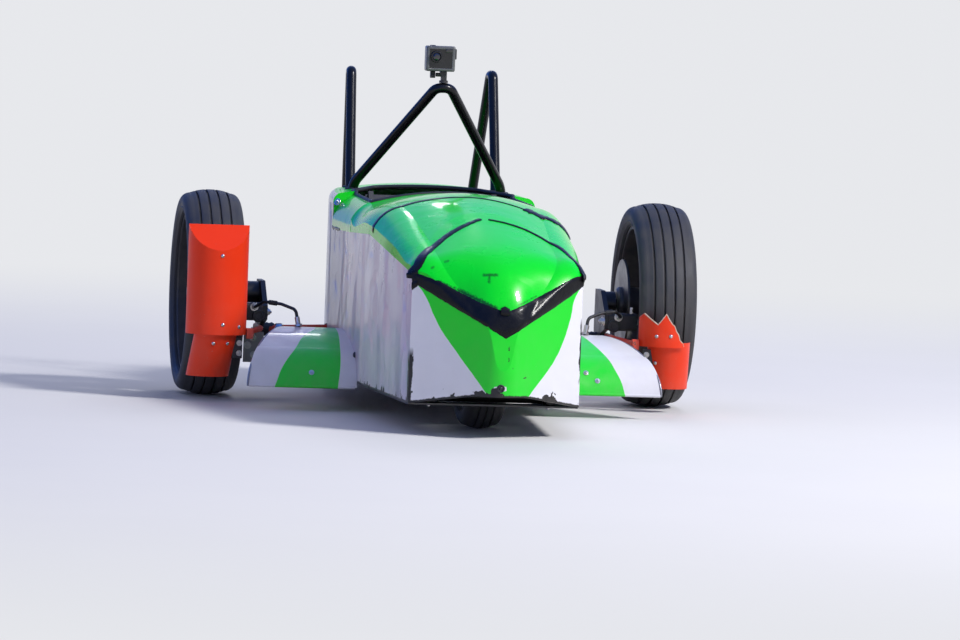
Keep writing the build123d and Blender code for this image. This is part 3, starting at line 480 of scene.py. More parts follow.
# The stripe on each side fairing, by height
wingStripes = {
    "right": {
        "outer": ((0.06, 0.444), (0.111, 0.421), (0.150, 0.386), (0.177, 0.353), (0.19, 0.312)),
        "inner": ((0.06, 0.288), (0.11, 0.281), (0.15, 0.276), (0.19, 0.267)),
    },
    "left": {
        "outer": ((0.06, 0.420), (0.092, 0.411), (0.119, 0.398), (0.145, 0.384), (0.19, 0.345)),
        "inner": ((0.06, 0.200), (0.19, 0.200)),
    },
    "widest": 0.5,
}


def wingPaint(side, sign):
    def paint(tree):
        axes = placeAxes(tree)
        across = times(tree, axes[0], sign)
        low = heightCurve(tree, axes[2], wingStripes[side]["inner"], wingStripes["widest"])
        high = heightCurve(tree, axes[2], wingStripes[side]["outer"], wingStripes["widest"])
        green = useGroup(tree, paintBand, value=across, low=low, high=high, soft=0.0015)["mask"]
        return mixColour(tree, green, bodyWhite, bodyGreen)
    return paint


hoodWaves = (2.2, 1.4, 2.0)
greenPaint = paintedSheet(
    "greenBodyPaint", bodyGreen, 0.24, hoodWaves, 0.010, 0.06, 0.12, trimBlack, 0.5, gloss=0.2,
)
domeFinish = paintedSheet(
    "domePaint", domePaint, 0.24, hoodWaves, 0.010, 0.06, 0.12, trimBlack, 0.25, gloss=0.2,
)
deckFinish = paintedSheet("tailDeckPaint", deckPaint, 0.24, hoodWaves, 0.010, 0.08, 0.12, trimBlack, 0.22)
wedgeFinish = paintedSheet(
    "nosePaint", wedgePaint, 0.26, (3.0, 2.0, 2.5), 0.010, 0.10, 0.22, trimBlack, 0.2, lowEdge(0.075, 0.15),
)
whitePaint = paintedSheet(
    "whiteSidePaint", sidePaint, 0.24, (4.0, 4.6, 0.8), 0.055, 0.20, 0.14, bareMetal, 0.12,
    lowEdge(0.075, 0.2), creases=0.24,
)
wingFinishes = {
    side: paintedSheet(
        f"wingPaint_{side}", wingPaint(side, sign), 0.24, (5.0, 3.0, 4.0), 0.012, 0.16, 0.22, trimBlack, 0.3,
        lowEdge(0.06, 0.12),
    )
    for side, sign in sides
}
orangePaint = paintedSheet(
    "orangeGuardPaint", guardOrange, 0.34, (7.0, 5.0, 5.0), 0.006, 0.10, 0.16, colour(0.2, 0.1, 0.06), 0.1,
    gloss=0.2,
)
armPaint = paintedSheet(
    "orangeArmPaint", guardOrange, 0.4, (7.0, 5.0, 5.0), 0.002, 0.5, 0.5, colour(0.06, 0.05, 0.05), 0.2,
)
blackPaint = paintedSheet(
    "blackTubePaint", trimBlack, 0.25, (30.0, 30.0, 30.0), 0.0006, 0.04, 0.05, bareMetal, 0.12, gloss=0.25,
)


# Grained rubber, plastic or metal with uneven patches and dust
def plainFinish(name, base, rough, patchColour, patchAmount, grainScale, grainDepth, dust=0.0, **settings):
    material, tree, shader = startMaterial(name, base, rough, **settings)
    grain = useGroup(tree, surfaceGrain, scale=grainScale, patch=22.0)
    share = times(tree, ramp(tree, grain["patches"], 0.35, 0.7), patchAmount)
    mottled = mixColour(tree, share, base, patchColour)
    if dust:
        film = useGroup(tree, roadDust, low=0.0, high=0.35, amount=dust, scale=26.0)["mask"]
        mottled = mixColour(tree, film, mottled, dustColour)
    tree.links.new(mottled, shader.inputs["Base Color"])
    uneven = ramp(tree, grain["patches"], 0.3, 0.75, rough - 0.06, rough + 0.12)
    tree.links.new(uneven, shader.inputs["Roughness"])
    addBump(tree, shader, grain["height"], 0.6, grainDepth)
    return material


tyreRubber = plainFinish(
    "tyreRubber", colour(0.028, 0.028, 0.031), 0.62, colour(0.055, 0.052, 0.05), 0.7, 700.0, 0.0006,
)
softRubber = plainFinish("softBlackRubber", colour(0.014, 0.014, 0.015), 0.5, grey(0.03), 0.5, 900.0, 0.0004)
rimPaint = plainFinish(
    "rimPaint", colour(0.05, 0.05, 0.055), 0.34, colour(0.11, 0.1, 0.09), 0.6, 500.0, 0.0003, 0.1,
    Metallic=0.3,
)
discSteel = plainFinish(
    "discSteel", colour(0.13, 0.125, 0.12), 0.36, colour(0.08, 0.06, 0.05), 0.6, 300.0, 0.0003, 0.2,
    Metallic=1.0,
)
# Bright metal used only for the painted highlight along the fairings' outer rims
edgeHighlightMetal = plainFinish(
    "edgeHighlightMetal", colour(0.3, 0.3, 0.32), 0.4, colour(0.2, 0.19, 0.18), 0.6, 400.0, 0.0004, 0.15,
    Metallic=0.8,
)
zincBolt = plainFinish(
    "zincBolt", colour(0.62, 0.61, 0.58), 0.28, colour(0.4, 0.36, 0.3), 0.5, 300.0, 0.0002, Metallic=1.0,
)
castBlack = plainFinish(
    "castBlack", colour(0.02, 0.02, 0.022), 0.42, colour(0.05, 0.045, 0.04), 0.5, 350.0, 0.0006,
)
hoseRubber = plainFinish("hoseRubber", colour(0.012, 0.012, 0.013), 0.45, grey(0.03), 0.5, 900.0, 0.0003)
floorSheet = plainFinish(
    "floorSheet", colour(0.06, 0.06, 0.063), 0.55, colour(0.12, 0.11, 0.1), 0.5, 260.0, 0.0006, 0.1,
    Metallic=0.4,
)
seatShell = plainFinish("seatShell", colour(0.03, 0.03, 0.034), 0.42, grey(0.05), 0.5, 500.0, 0.0004)
cameraGrey = plainFinish("cameraHousing", colour(0.09, 0.093, 0.098), 0.3, grey(0.2), 0.4, 700.0, 0.0002)
cameraBlack = plainFinish(
    "cameraFront", colour(0.006, 0.006, 0.007), 0.2, grey(0.012), 0.4, 700.0, 0.0001, Coat_Weight=0.2,
)
ironTape = plainFinish(
    "blackTape", trimBlack, 0.3, colour(0.012, 0.012, 0.014), 0.5, 120.0, 0.0015,
    Coat_Weight=0.10, Specular_IOR_Level=0.15,
)
lensGlass = plainFinish(
    "lensGlass", colour(0.004, 0.004, 0.006), 0.06, colour(0.01, 0.008, 0.016), 0.5, 600.0, 0.00002,
    Coat_Weight=1.0,
)
paleBreak = plainFinish(
    "paleBrokenEdge", colour(0.62, 0.5, 0.42), 0.6, colour(0.4, 0.2, 0.1), 0.7, 500.0, 0.0008,
)


# The uprights are black above, with a bare worn lug below
def makeUprightFinish():
    material, tree, shader = startMaterial("uprightMetal", colour(0.3, 0.3, 0.32), 0.42, Metallic=0.6)
    grain = useGroup(tree, surfaceGrain, scale=380.0, patch=30.0)
    line = plus(tree, placeAxes(tree)[2], times(tree, grain["patches"], 0.012))
    black = ramp(tree, line, 0.166, 0.169)
    metal = mixColour(tree, grain["patches"], colour(0.36, 0.35, 0.34), colour(0.22, 0.2, 0.18))
    tree.links.new(mixColour(tree, black, metal, trimBlack), shader.inputs["Base Color"])
    tree.links.new(ramp(tree, black, 0.0, 1.0, 0.85, 0.1), shader.inputs["Metallic"])
    tree.links.new(ramp(tree, grain["patches"], 0.3, 0.7, 0.34, 0.5), shader.inputs["Roughness"])
    addBump(tree, shader, grain["height"], 0.6, 0.0004)
    return material


def makePadFabric():
    material, tree, shader = startMaterial(
        "padFabric", colour(0.02, 0.02, 0.023), 0.85, Sheen_Weight=0.35, Sheen_Roughness=0.5,
    )
    weave = useGroup(tree, wovenThreads, threads=900.0)
    tone = mixColour(tree, weave["shade"], colour(0.014, 0.014, 0.016), colour(0.04, 0.04, 0.045))
    threads = mixColour(tree, times(tree, weave["height"], 0.35), tone, colour(0.06, 0.06, 0.065))
    tree.links.new(threads, shader.inputs["Base Color"])
    addBump(tree, shader, weave["height"], 0.8, 0.0006)
    return material


uprightFinish = makeUprightFinish()
padFabric = makePadFabric()


# Which nodes wear which finish. A star stands for both sides.
nodeFinish = {
    domeFinish: ["nose_dome"],
    greenPaint: ["hood_front", "hood_rear", "cockpit_cowl_*"],
    deckFinish: ["tail_deck"],
    wedgeFinish: ["nose_front"],
    whitePaint: ["side_panel_*", "tail_side_*", "tail_panel"],
    wingFinishes["left"]: ["wing_left"],
    wingFinishes["right"]: ["wing_right"],
    orangePaint: ["mudguard_upper_*", "mudguard_lower_*"],
    armPaint: ["guard_bracket_*", "arms_*"],
    blackPaint: ["main_hoop", "side_hoop_*", "hoop_struts_*", "frame_rail_*", "frame_cross_tubes",
                 "head_legs", "head_tube", "steering_post", "fork", "handlebar", "arm_posts_*"],
    tyreRubber: ["tyre_front", "tyre_rear_*"],
    rimPaint: ["rim_front", "rim_rear_*"],
    discSteel: ["brake_disc_*", "drag_rod", "pedals"],
    uprightFinish: ["upright_*"],
    castBlack: ["caliper_*", "camera_mount"],
    hoseRubber: ["brake_hose_*"],
    floorSheet: ["floor_pan"],
    seatShell: ["seat", "seat_pad"],
    cameraGrey: ["camera"],
}
for finish, patterns in nodeFinish.items():
    for name in sorted({pattern.replace("*", side) for pattern in patterns for side, sign in sides}):
        nodes[name].data.materials.clear()
        nodes[name].data.materials.append(finish)
        for face in nodes[name].data.polygons:
            face.material_index = 0
print("node finishes set")


# Pale flat floor that turns into an even backdrop away from the car, and soft light
studio = {
    "half": 90.0, "near": 1.5, "far": 6.5, "pale": colour(0.80, 0.81, 0.84),
    "floor": (colour(0.70, 0.70, 0.715), colour(0.74, 0.74, 0.75)),
    "blue": colour(0.06, 0.24, 1.0), "blueToRight": (-0.02, -0.24), "blueUp": (0.06, 0.42, 0.0, 0.8),
    "ambient": colour(0.25, 0.275, 0.42), "lampsAimAt": (0, 0, 0.3),
}
# Lamps as (name, place, size, power, colour, whether gloss shows it)
lamps = (
    ("keyLamp", (5.4, -4.6, 6.4), 1.5, 860, (1.0, 0.975, 0.94), True),
    ("fillLamp", (-6.0, -5.0, 2.6), 4.0, 34, (0.66, 0.76, 1.0), False),
    ("backLamp", (1.5, 6.0, 5.0), 3.0, 150, (1.0, 1.0, 1.0), False),
    ("glintLamp", (0.45, 7.0, 3.9), 0.5, 9, (1.0, 1.0, 1.0), True),
)


# One for camera, glossy and transmission rays
def shownRays(tree):
    paths = addNode(tree, "LightPath").outputs
    seen = calc(tree, "MAXIMUM", paths["Is Camera Ray"], paths["Is Glossy Ray"])
    return calc(tree, "MAXIMUM", seen, paths["Is Transmission Ray"])


def makeStudio(size):
    half = size["half"]
    mesh = bpy.data.meshes.new("studioFloor")
    corners = [(-half, -half, 0), (half, -half, 0), (half, half, 0), (-half, half, 0)]
    mesh.from_pydata(corners, [], [(0, 1, 2, 3)])
    floor = bpy.data.objects.new("studioFloor", mesh)
    bpy.context.scene.collection.objects.link(floor)
    material, tree, shader = startMaterial("studioPale", size["floor"][0], 0.9, Specular_IOR_Level=0.1)
    grain = useGroup(tree, surfaceGrain, scale=60.0, patch=1.2)
    tree.links.new(mixColour(tree, grain["patches"], *size["floor"]), shader.inputs["Base Color"])
    away = addNode(tree, "VectorMath", {0: objectPlace(tree)}, operation="LENGTH").outputs["Value"]
    fade = times(tree, ramp(tree, away, size["near"], size["far"], kind="SMOOTHSTEP"), shownRays(tree))
    glow = addNode(tree, "Emission", {"Color": size["pale"]})
    blend = addNode(tree, "MixShader", {0: fade, 1: shader.outputs[0], 2: glow.outputs[0]})
    below = addNode(tree, "NewGeometry").outputs["Backfacing"]
    clear = addNode(tree, "BsdfTransparent")
    whole = addNode(tree, "MixShader", {0: below, 1: blend.outputs[0], 2: clear.outputs[0]})
    tree.links.new(whole.outputs[0], tree.nodes["Material Output"].inputs["Surface"])
    mesh.materials.append(material)


def makeLamp(name, place, size, power, tint, shows):
    data = bpy.data.lights.new(name, "AREA")
    data.size = size
    data.energy = power
    data.color = tint
    lamp = bpy.data.objects.new(name, data)
    lamp.location = place
    aim = Vector(studio["lampsAimAt"]) - Vector(place)
    lamp.rotation_euler = aim.to_track_quat("-Z", "Y").to_euler()
    lamp.visible_glossy = shows
    bpy.context.scene.collection.objects.link(lamp)


# A pale world, with a blue sky that only gloss shows, to the right and overhead
def makeWorld(size):
    world = bpy.data.worlds.new("softWorld")
    bpy.context.scene.world = world
    world.use_nodes = True
    tree = world.node_tree
    heading = addNode(tree, "SeparateXYZ", {0: addNode(tree, "TexCoord").outputs["Generated"]}).outputs
    right = ramp(tree, heading[0], *size["blueToRight"])
    above = ramp(tree, heading[2], *size["blueUp"])
    glossy = addNode(tree, "LightPath").outputs["Is Glossy Ray"]
    share = times(tree, calc(tree, "MAXIMUM", right, above), glossy)
    sky = mixColour(tree, share, size["pale"], size["blue"])
    whole = mixColour(tree, shownRays(tree), size["ambient"], sky)
    tree.links.new(whole, tree.nodes["Background"].inputs["Color"])


makeStudio(studio)
for lamp in lamps:
    makeLamp(*lamp)
makeWorld(studio)
print("camera and studio set")


# Meshes
def linkPiece(name, mesh, material, body="root", smooth=True):
    mesh.name = name
    for face in mesh.polygons:
        face.use_smooth = smooth
    if material is not None:
        mesh.materials.append(material)
    piece = bpy.data.objects.new(name, mesh)
    bpy.context.scene.collection.objects.link(piece)
    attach(piece, body)
    return piece


def meshFrom(verts, faces, sharp=35):
    mesh = bpy.data.meshes.new("shape")
    mesh.from_pydata(verts, [], faces)
    shape = bmesh.new()
    shape.from_mesh(mesh)
    bmesh.ops.remove_doubles(shape, verts=shape.verts, dist=0.00001)
    bmesh.ops.recalc_face_normals(shape, faces=shape.faces)
    for edge in shape.edges:
        if len(edge.link_faces) == 2 and edge.calc_face_angle(0) > math.radians(sharp):
            edge.smooth = False
    shape.to_mesh(mesh)
    shape.free()
    return mesh


# Faces between rows of count points. closed joins the last row to the first; otherwise the ends are capped.
def tubeFaces(rows, count, closed=False):
    faces = []
    for row in range(rows if closed else rows - 1):
        here, there = row * count, (row + 1) % rows * count
        for step in range(count):
            turn = (step + 1) % count
            faces.append((here + step, here + turn, there + turn, there + step))
    if not closed:
        faces.append(tuple(range(count)))
        faces.append(tuple((rows - 1) * count + step for step in range(count)))
    return faces


# A turned form: (along, radius) points round an axis through centre
def turned(profile, segments, centre, axis=(1, 0, 0), closed=False, sharp=35):
    axis = Vector(axis).normalized()
    across = axis.orthogonal().normalized()
    other = axis.cross(across)
    verts = []
    for along, radius in profile:
        for step in range(segments):
            angle = 2 * math.pi * step / segments
            spoke = across * math.cos(angle) + other * math.sin(angle)
            verts.append(tuple(Vector(centre) + axis * along + spoke * radius))
    return meshFrom(verts, tubeFaces(len(profile), segments, closed), sharp)


def joined(meshes):
    shape = bmesh.new()
    for mesh in meshes:
        shape.from_mesh(mesh)
        bpy.data.meshes.remove(mesh)
    whole = bpy.data.meshes.new("shape")
    shape.to_mesh(whole)
    shape.free()
    return whole


def roundedBox(low, high, radius):
    shape = bmesh.new()
    for vert in bmesh.ops.create_cube(shape, size=1.0)["verts"]:
        vert.co = Vector(tuple(l + (h - l) * (c + 0.5) for l, h, c in zip(low, high, vert.co)))
    bmesh.ops.bevel(shape, geom=list(shape.edges), offset=radius, segments=3, affect="EDGES", profile=0.6)
    mesh = bpy.data.meshes.new("shape")
    shape.to_mesh(mesh)
    shape.free()
    return mesh


# Tyres: grooved tread, round shoulders and ribbed walls, as rings of (offset, radius) points
rearTyre = {
    "radius": 0.2555, "tread": 0.1, "crown": 0.009, "halfWidth": 0.0723, "bead": 0.1985, "beadHalf": 0.053,
    "grooves": (-0.0375, -0.0125, 0.0125, 0.0375), "grooveWidth": 0.0048, "grooveDepth": 0.006,
    "segments": 144,
}
frontTyre = {
    "radius": 0.1995, "tread": 0.062, "crown": 0.007, "halfWidth": 0.0478, "bead": 0.1505, "beadHalf": 0.035,
    "grooves": (-0.017, 0.0, 0.017), "grooveWidth": 0.004, "grooveDepth": 0.0045, "segments": 120,
}


def tyreProfile(size):
    half = size["tread"] / 2

    def crownAt(x):
        return size["radius"] - size["crown"] * (abs(x) / half) ** 2.3

    points = []
    edges = []
    for groove in size["grooves"]:
        edges += [groove - size["grooveWidth"] / 2, groove + size["grooveWidth"] / 2]
    inGroove = False
    place = -half
    stops = edges + [half]
    for stop in stops:
        steps = 5 if not inGroove else 1
        for step in range(steps + 1):
            x = place + (stop - place) * step / steps
            lift = 0.0
            if not inGroove and step in (0, steps) and abs(x) < half - 0.001:
                lift = -0.0006
            points.append((x, crownAt(x) + lift))
            if not inGroove and steps > 1 and step == 0 and abs(x) < half - 0.001:
                points.append((x + 0.0009, crownAt(x + 0.0009)))
        if stop != half:
            if not inGroove:
                points[-1] = (stop - 0.0009, crownAt(stop - 0.0009))
                points.append((stop, crownAt(stop) - 0.0006))
                points.append((stop + 0.0006, crownAt(stop) - size["grooveDepth"]))
                inGroove = True
                place = stop + 0.0006
                continue
            points[-1] = (stop - 0.0006, crownAt(stop) - size["grooveDepth"])
            inGroove = False
        place = stop
    shoulder = crownAt(half)
    bulge = size["bead"] + (size["radius"] - size["bead"]) * 0.46
    walls = []
    for step in range(1, 9):
        angle = math.radians(90 * step / 8)
        walls.append((
            half + (size["halfWidth"] - half) * math.sin(angle),
            shoulder - (shoulder - bulge) * (1 - math.cos(angle)),
        ))
    low = size["bead"]
    for step in range(1, 8):
        angle = math.radians(90 * step / 7)
        x = size["beadHalf"] + (size["halfWidth"] - size["beadHalf"]) * math.cos(angle) ** 0.8
        r = bulge - (bulge - low) * math.sin(angle) ** 1.15
        if step == 3:
            walls += [(x + 0.0002, r + 0.0022), (x + 0.0012, r + 0.0012)]
            walls += [(x + 0.0012, r - 0.0008), (x, r - 0.0018)]
        elif step == 6:
            walls += [(x + 0.0016, r + 0.002), (x + 0.0018, r - 0.001)]
        else:
            walls.append((x, r))
    return [(-x, r) for x, r in reversed(walls)] + points + walls


def makeTyre(node, size, centre, body):
    mesh = turned(tyreProfile(size), size["segments"], centre, closed=True, sharp=40)
    tyre = linkPiece(f"grooved_{node}", mesh, tyreRubber, body)
    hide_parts(node)


frontHub = Vector((0, y(wheelPlaces["wheelbase"]), wheelPlaces["frontZ"]))
for side, sign in sides:
    makeTyre(f"tyre_rear_{side}", rearTyre, rearHub(sign), f"wheel_rear_{side}")
makeTyre("tyre_front", frontTyre, frontHub, "wheel_front")
print("tyres made")


# Finding places on the shell, and strips that lie on it
def shellTree(names):
    verts = []
    faces = []
    for name in names:
        base = len(verts)
        mesh = nodes[name].data
        verts += [v.co.copy() for v in mesh.vertices]
        faces += [[base + i for i in face.vertices] for face in mesh.polygons]
    return BVHTree.FromPolygons(verts, faces)


hoods = ["nose_dome", "hood_front", "hood_rear"]
noseTree = shellTree(["nose_front", *hoods, "side_panel_left", "side_panel_right"])
bodyTree = shellTree([*hoods, "cockpit_cowl_left", "cockpit_cowl_right", "tail_deck"])
guardTrees = {side: shellTree([f"mudguard_upper_{side}", f"mudguard_lower_{side}"]) for side, sign in sides}
wingTrees = {side: shellTree([f"wing_{side}"]) for side, sign in sides}


# The spot first met on the way from start to target, and its outward normal
def castTo(tree, start, target):
    start = Vector(start)
    way = (Vector(target) - start).normalized()
    place, normal = tree.ray_cast(start, way)[:2]
    if place is None:
        return None
    if normal.dot(way) > 0:
        normal = -normal
    return place, normal


def frontSpot(tree, x, z):
    return castTo(tree, (x, -3, z), (x, 3, z))


def topSpot(tree, x, y):
    return castTo(tree, (x, y, 3), (x, y, -3))


# The nearest spot of the shell to a point, pushed out first from the car's middle
def snapTo(tree, point, out=0.012):
    point = Vector(point)
    outward = Vector((point.x, 0, point.z - 0.25)).normalized()
    place, normal = tree.find_nearest(point + outward * out)[:2]
    if normal.dot(outward) < 0:
        normal = -normal
    return place, normal


# A smooth line through all points, with the same number of steps between each pair
def smoothLine(points, steps):
    points = [Vector(p) for p in points]
    line = []
    for index in range(len(points) - 1):
        p1, p2 = points[index], points[index + 1]
        p0 = points[index - 1] if index else p1 * 2 - p2
        p3 = points[index + 2] if index + 2 < len(points) else p2 * 2 - p1
        for step in range(steps):
            t = step / steps
            bend, twist = 2 * p0 - 5 * p1 + 4 * p2 - p3, 3 * p1 - p0 - 3 * p2 + p3
            line.append(0.5 * (2 * p1 + (p2 - p0) * t + bend * t * t + twist * t ** 3))
    line.append(points[-1])
    return line


def evenNormals(track, reach=3):
    smooth = []
    for index, spot in enumerate(track):
        near = [normal for place, normal in track[max(index - reach, 0):index + reach + 1]]
        smooth.append((spot[0], sum(near, Vector()).normalized()))
    return smooth


# A domed strip along track, a list of (place, normal, width, height)
def layStrip(name, track, ragged=0.0, seed=1, sink=0.0006):
    chance = random.Random(seed)
    sectionSides = (-1.0, -0.86, -0.5, 0.0, 0.5, 0.86, 1.0)
    verts = []
    for index, (place, normal, width, height) in enumerate(track):
        before = track[max(index - 1, 0)][0]
        after = track[min(index + 1, len(track) - 1)][0]
        along = (after - before).normalized()
        across = normal.cross(along).normalized()
        up = along.cross(across).normalized()
        if up.dot(normal) < 0:
            up = -up
        low = -width / 2 + chance.uniform(-ragged, ragged)
        high = width / 2 + chance.uniform(-ragged, ragged)
        verts.append(place + across * low - up * sink)
        for share in sectionSides:
            rise = height * (1 - abs(share) ** 3.2) ** 0.6
            verts.append(place + across * (low + (high - low) * (share + 1) / 2) + up * rise)
        verts.append(place + across * high - up * sink)
    mesh = meshFrom([tuple(v) for v in verts], tubeFaces(len(track), len(sectionSides) + 2), 50)
    linkPiece(name, mesh, ironTape)


# A patch between two edges, each a list of (x, z) seen from the front, laid on the shell with a rounded rim
def layPatch(name, lowEdge, highEdge, across, height, ragged=0.0, seed=1, sink=0.0006):
    chance = random.Random(seed)
    rows = []
    for (xa, za), (xb, zb) in zip(lowEdge, highEdge):
        za += chance.uniform(-ragged, ragged)
        zb += chance.uniform(-ragged, ragged)
        row = []
        for step in range(across + 1):
            share = step / across
            found = frontSpot(noseTree, xa + (xb - xa) * share, za + (zb - za) * share)
            if found:
                rim = min(1, 5 * min(share, 1 - share)) ** 0.5
                row.append(found[0] + found[1] * (height * rim))
                if step in (0, across):
                    row.append(found[0] - found[1] * sink)
                    if step == 0:
                        row.reverse()
        if len(row) == across + 3:
            rows.append(row)
    count = across + 3
    verts = [tuple(v) for row in rows for v in row]
    faces = [
        (i * count + k, i * count + k + 1, (i + 1) * count + k + 1, (i + 1) * count + k)
        for i in range(len(rows) - 1) for k in range(count - 1)
    ]
    linkPiece(name, meshFrom(verts, faces, 60), ironTape)


def alongEdge(points, gap):
    line = []
    for (xa, za), (xb, zb) in zip(points, points[1:]):
        steps = max(1, round(math.hypot(xb - xa, zb - za) / gap))
        line += [(xa + (xb - xa) * k / steps, za + (zb - za) * k / steps) for k in range(steps)]
    return line + [points[-1]]


# The V of tape over the joint of the nose and the dome, as edges in (x, z) from the right corner to the left
noseTape = {
    "low": ((-0.2022, 0.3568), (-0.1419, 0.3215), (-0.0984, 0.2967), (-0.055, 0.2720), (0.0045, 0.2375),
            (0.0635, 0.2727), (0.1156, 0.3021), (0.1678, 0.3340), (0.2022, 0.3575)),
    "high": ((-0.2022, 0.3810), (-0.1419, 0.3625), (-0.0984, 0.3400), (-0.055, 0.3195), (0.0045, 0.2990),
             (0.0635, 0.3235), (0.1156, 0.3485), (0.1678, 0.3760), (0.2022, 0.3860)),
    "steps": 8, "across": 10, "height": 0.0026, "ragged": 0.0006,
}
noseLatch = {
    "low": ((-0.009, 0.291), (0.0, 0.288), (0.012, 0.290)),
    "high": ((-0.008, 0.309), (0.002, 0.313), (0.011, 0.308)),
    "across": 6, "height": 0.010, "ragged": 0.0,
}
tornFlap = {
    "low": ((-0.2022, 0.338), (-0.197, 0.343), (-0.190, 0.350)),
    "high": ((-0.2022, 0.362), (-0.197, 0.364), (-0.190, 0.366)),
    "across": 4, "height": 0.0035, "ragged": 0.002,
}


# Both edges are divided alike; where there are no steps, their points pair as they stand
def layTape(name, size, seed=1):
    steps = size.get("steps", 1)
    edges = {}
    for key in ("low", "high"):
        edges[key] = []
        for (xa, za), (xb, zb) in zip(size[key], size[key][1:]):
            edges[key] += [(xa + (xb - xa) * k / steps, za + (zb - za) * k / steps) for k in range(steps)]
        edges[key].append(size[key][-1])
    layPatch(name, edges["low"], edges["high"], size["across"], size["height"], size["ragged"], seed)


layTape("nose_tape", noseTape)
layTape("nose_latch", noseLatch)
layTape("torn_flap", tornFlap, seed=4)


# Arch of tape behind the dome: thick on the right side, thin on the left, with a gap at its top
archTape = {
    "right": ((-0.2010, -0.8155, 0.3590), (-0.1985, -0.8160, 0.3800), (-0.1827, -0.8097, 0.4016),
              (-0.1365, -0.7178, 0.4365), (-0.0864, -0.6507, 0.4665), (-0.0123, -0.5685, 0.4962)),
    "left": ((0.0080, -0.5700, 0.4950), (0.0644, -0.5956, 0.4851), (0.1055, -0.6230, 0.4697),
             (0.1490, -0.6700, 0.4460), (0.1868, -0.7684, 0.4141), (0.1985, -0.810, 0.386),
             (0.2010, -0.8155, 0.362)),
    "width": {"right": (0.034, 0.026, 0.014), "left": (0.008, 0.014, 0.030)}, "height": 0.0026, "steps": 12,
    "ragged": 0.0008,
}


def makeArchTape(size):
    for side, sign in sides:
        line = [snapTo(noseTree, p) for p in smoothLine(size[side], size["steps"])]
        first, middle, last = size["width"][side]
        track = []
        for index, (place, normal) in enumerate(evenNormals(line)):
            share = index / (len(line) - 1)
            width = first + (middle - first) * min(share * 2, 1) + (last - middle) * max(share * 2 - 1, 0)
            track.append((place, normal, width, size["height"]))
        layStrip(f"arch_tape_{side}", track, size["ragged"], seed=2)


makeArchTape(archTape)


# Seam of the two hood sheets, across the car, with worn tape at its left end
hoodSeam = {
    "line": ((-0.2340, -0.315, 0.441), (-0.2273, -0.3254, 0.4697), (-0.1925, -0.3288, 0.5011),
             (-0.1395, -0.3210, 0.5207), (-0.0780, -0.3281, 0.5338), (-0.0128, -0.3398, 0.5385),
             (0.0296, -0.3524, 0.5351), (0.0901, -0.3800, 0.5205), (0.1335, -0.4000, 0.5053),
             (0.1720, -0.4150, 0.4880), (0.2120, -0.4150, 0.4640), (0.2290, -0.4100, 0.4420)),
    "width": 0.011, "thick": 1.9, "height": 0.0016, "steps": 8,
    "worn": {"fromX": 0.118, "fromZ": 0.455, "width": 0.044, "height": 0.0034, "ragged": 0.007},
}


# The seam widens from the middle to the right side
def makeHoodSeam(size):
    line = evenNormals([snapTo(noseTree, p) for p in smoothLine(size["line"], size["steps"])])
    seam = []
    for place, normal in line:
        wider = size["thick"] if place.x < -0.1 else 1 - 9 * min(place.x, 0)
        seam.append((place, normal, size["width"] * wider, size["height"]))
    layStrip("hood_seam", seam)
    worn = size["worn"]
    spots = [(p, n) for p, n in line if p.x > worn["fromX"] and p.z > worn["fromZ"]]
    track = [(p, n, worn["width"], worn["height"]) for p, n in spots]
    layStrip("worn_seam_tape", track, worn["ragged"], seed=5)


makeHoodSeam(hoodSeam)
print("tapes laid")


# Fasteners: (along, radius) profiles and the pieces that gather them
def rivetForm(size, place, axis):
    profile = [(-0.001, size), (0.0004, size), (size * 0.32, size * 0.88), (size * 0.55, size * 0.52)]
    return turned([*profile, (size * 0.62, 0.0002)], 16, place, axis)


def boltForm(size, place, axis):
    washer = [(-0.0006, size * 1.5), (0.001, size * 1.5), (0.0016, size * 1.4), (0.0016, size * 0.3)]
    head = [
        (0.001, size * 0.92), (0.0016, size), (size * 0.75, size), (size * 0.95, size * 0.84),
        (size * 0.97, size * 0.3),
    ]
    thread = size * 0.46
    stud = [(0.001, thread), (size * 1.25, thread), (size * 1.4, size * 0.34), (size * 1.42, 0.0002)]
    return joined([
        turned(washer, 24, place, axis),
        turned(head, 6, place, axis, sharp=20),
        turned(stud, 16, place, axis),
    ])


def collarForm(size, place, axis):
    half = size * 0.5
    profile = [(-half, size * 0.8), (-half, size), (half, size), (half, size * 0.8)]
    return turned(profile, 6, place, axis, sharp=20)


def ringForm(size, place, axis, thick=0.0022):
    angles = [math.radians(angle) for angle in range(0, 360, 45)]
    profile = [(thick * math.sin(angle), size + thick * math.cos(angle)) for angle in angles]
    return turned(profile, 32, place, axis, closed=True, sharp=80)


# rows are (place, axis) or (place, axis, size)
def fastenerSet(name, form, size, rows, material=zincBolt, body="root"):
    meshes = [form(row[2] if len(row) > 2 else size, row[0], row[1]) for row in rows]
    linkPiece(name, joined(meshes), material, body)


# Tubes, hems and trims along a line
def layTube(name, points, radius, material, cyclic=False, corners=10):
    points = [Vector(p) for p in points]
    count = len(points)
    verts = []
    across = None
    for index, place in enumerate(points):
        before = points[(index - 1) % count if cyclic else max(index - 1, 0)]
        after = points[(index + 1) % count if cyclic else min(index + 1, count - 1)]
        along = (after - before).normalized()
        across = along.orthogonal() if across is None else across - along * across.dot(along)
        across = across.normalized()
        other = along.cross(across)
        for step in range(corners):
            turn = 2 * math.pi * step / corners
            verts.append(tuple(place + (across * math.cos(turn) + other * math.sin(turn)) * radius))
    linkPiece(name, meshFrom(verts, tubeFaces(count, corners, cyclic), 60), material)


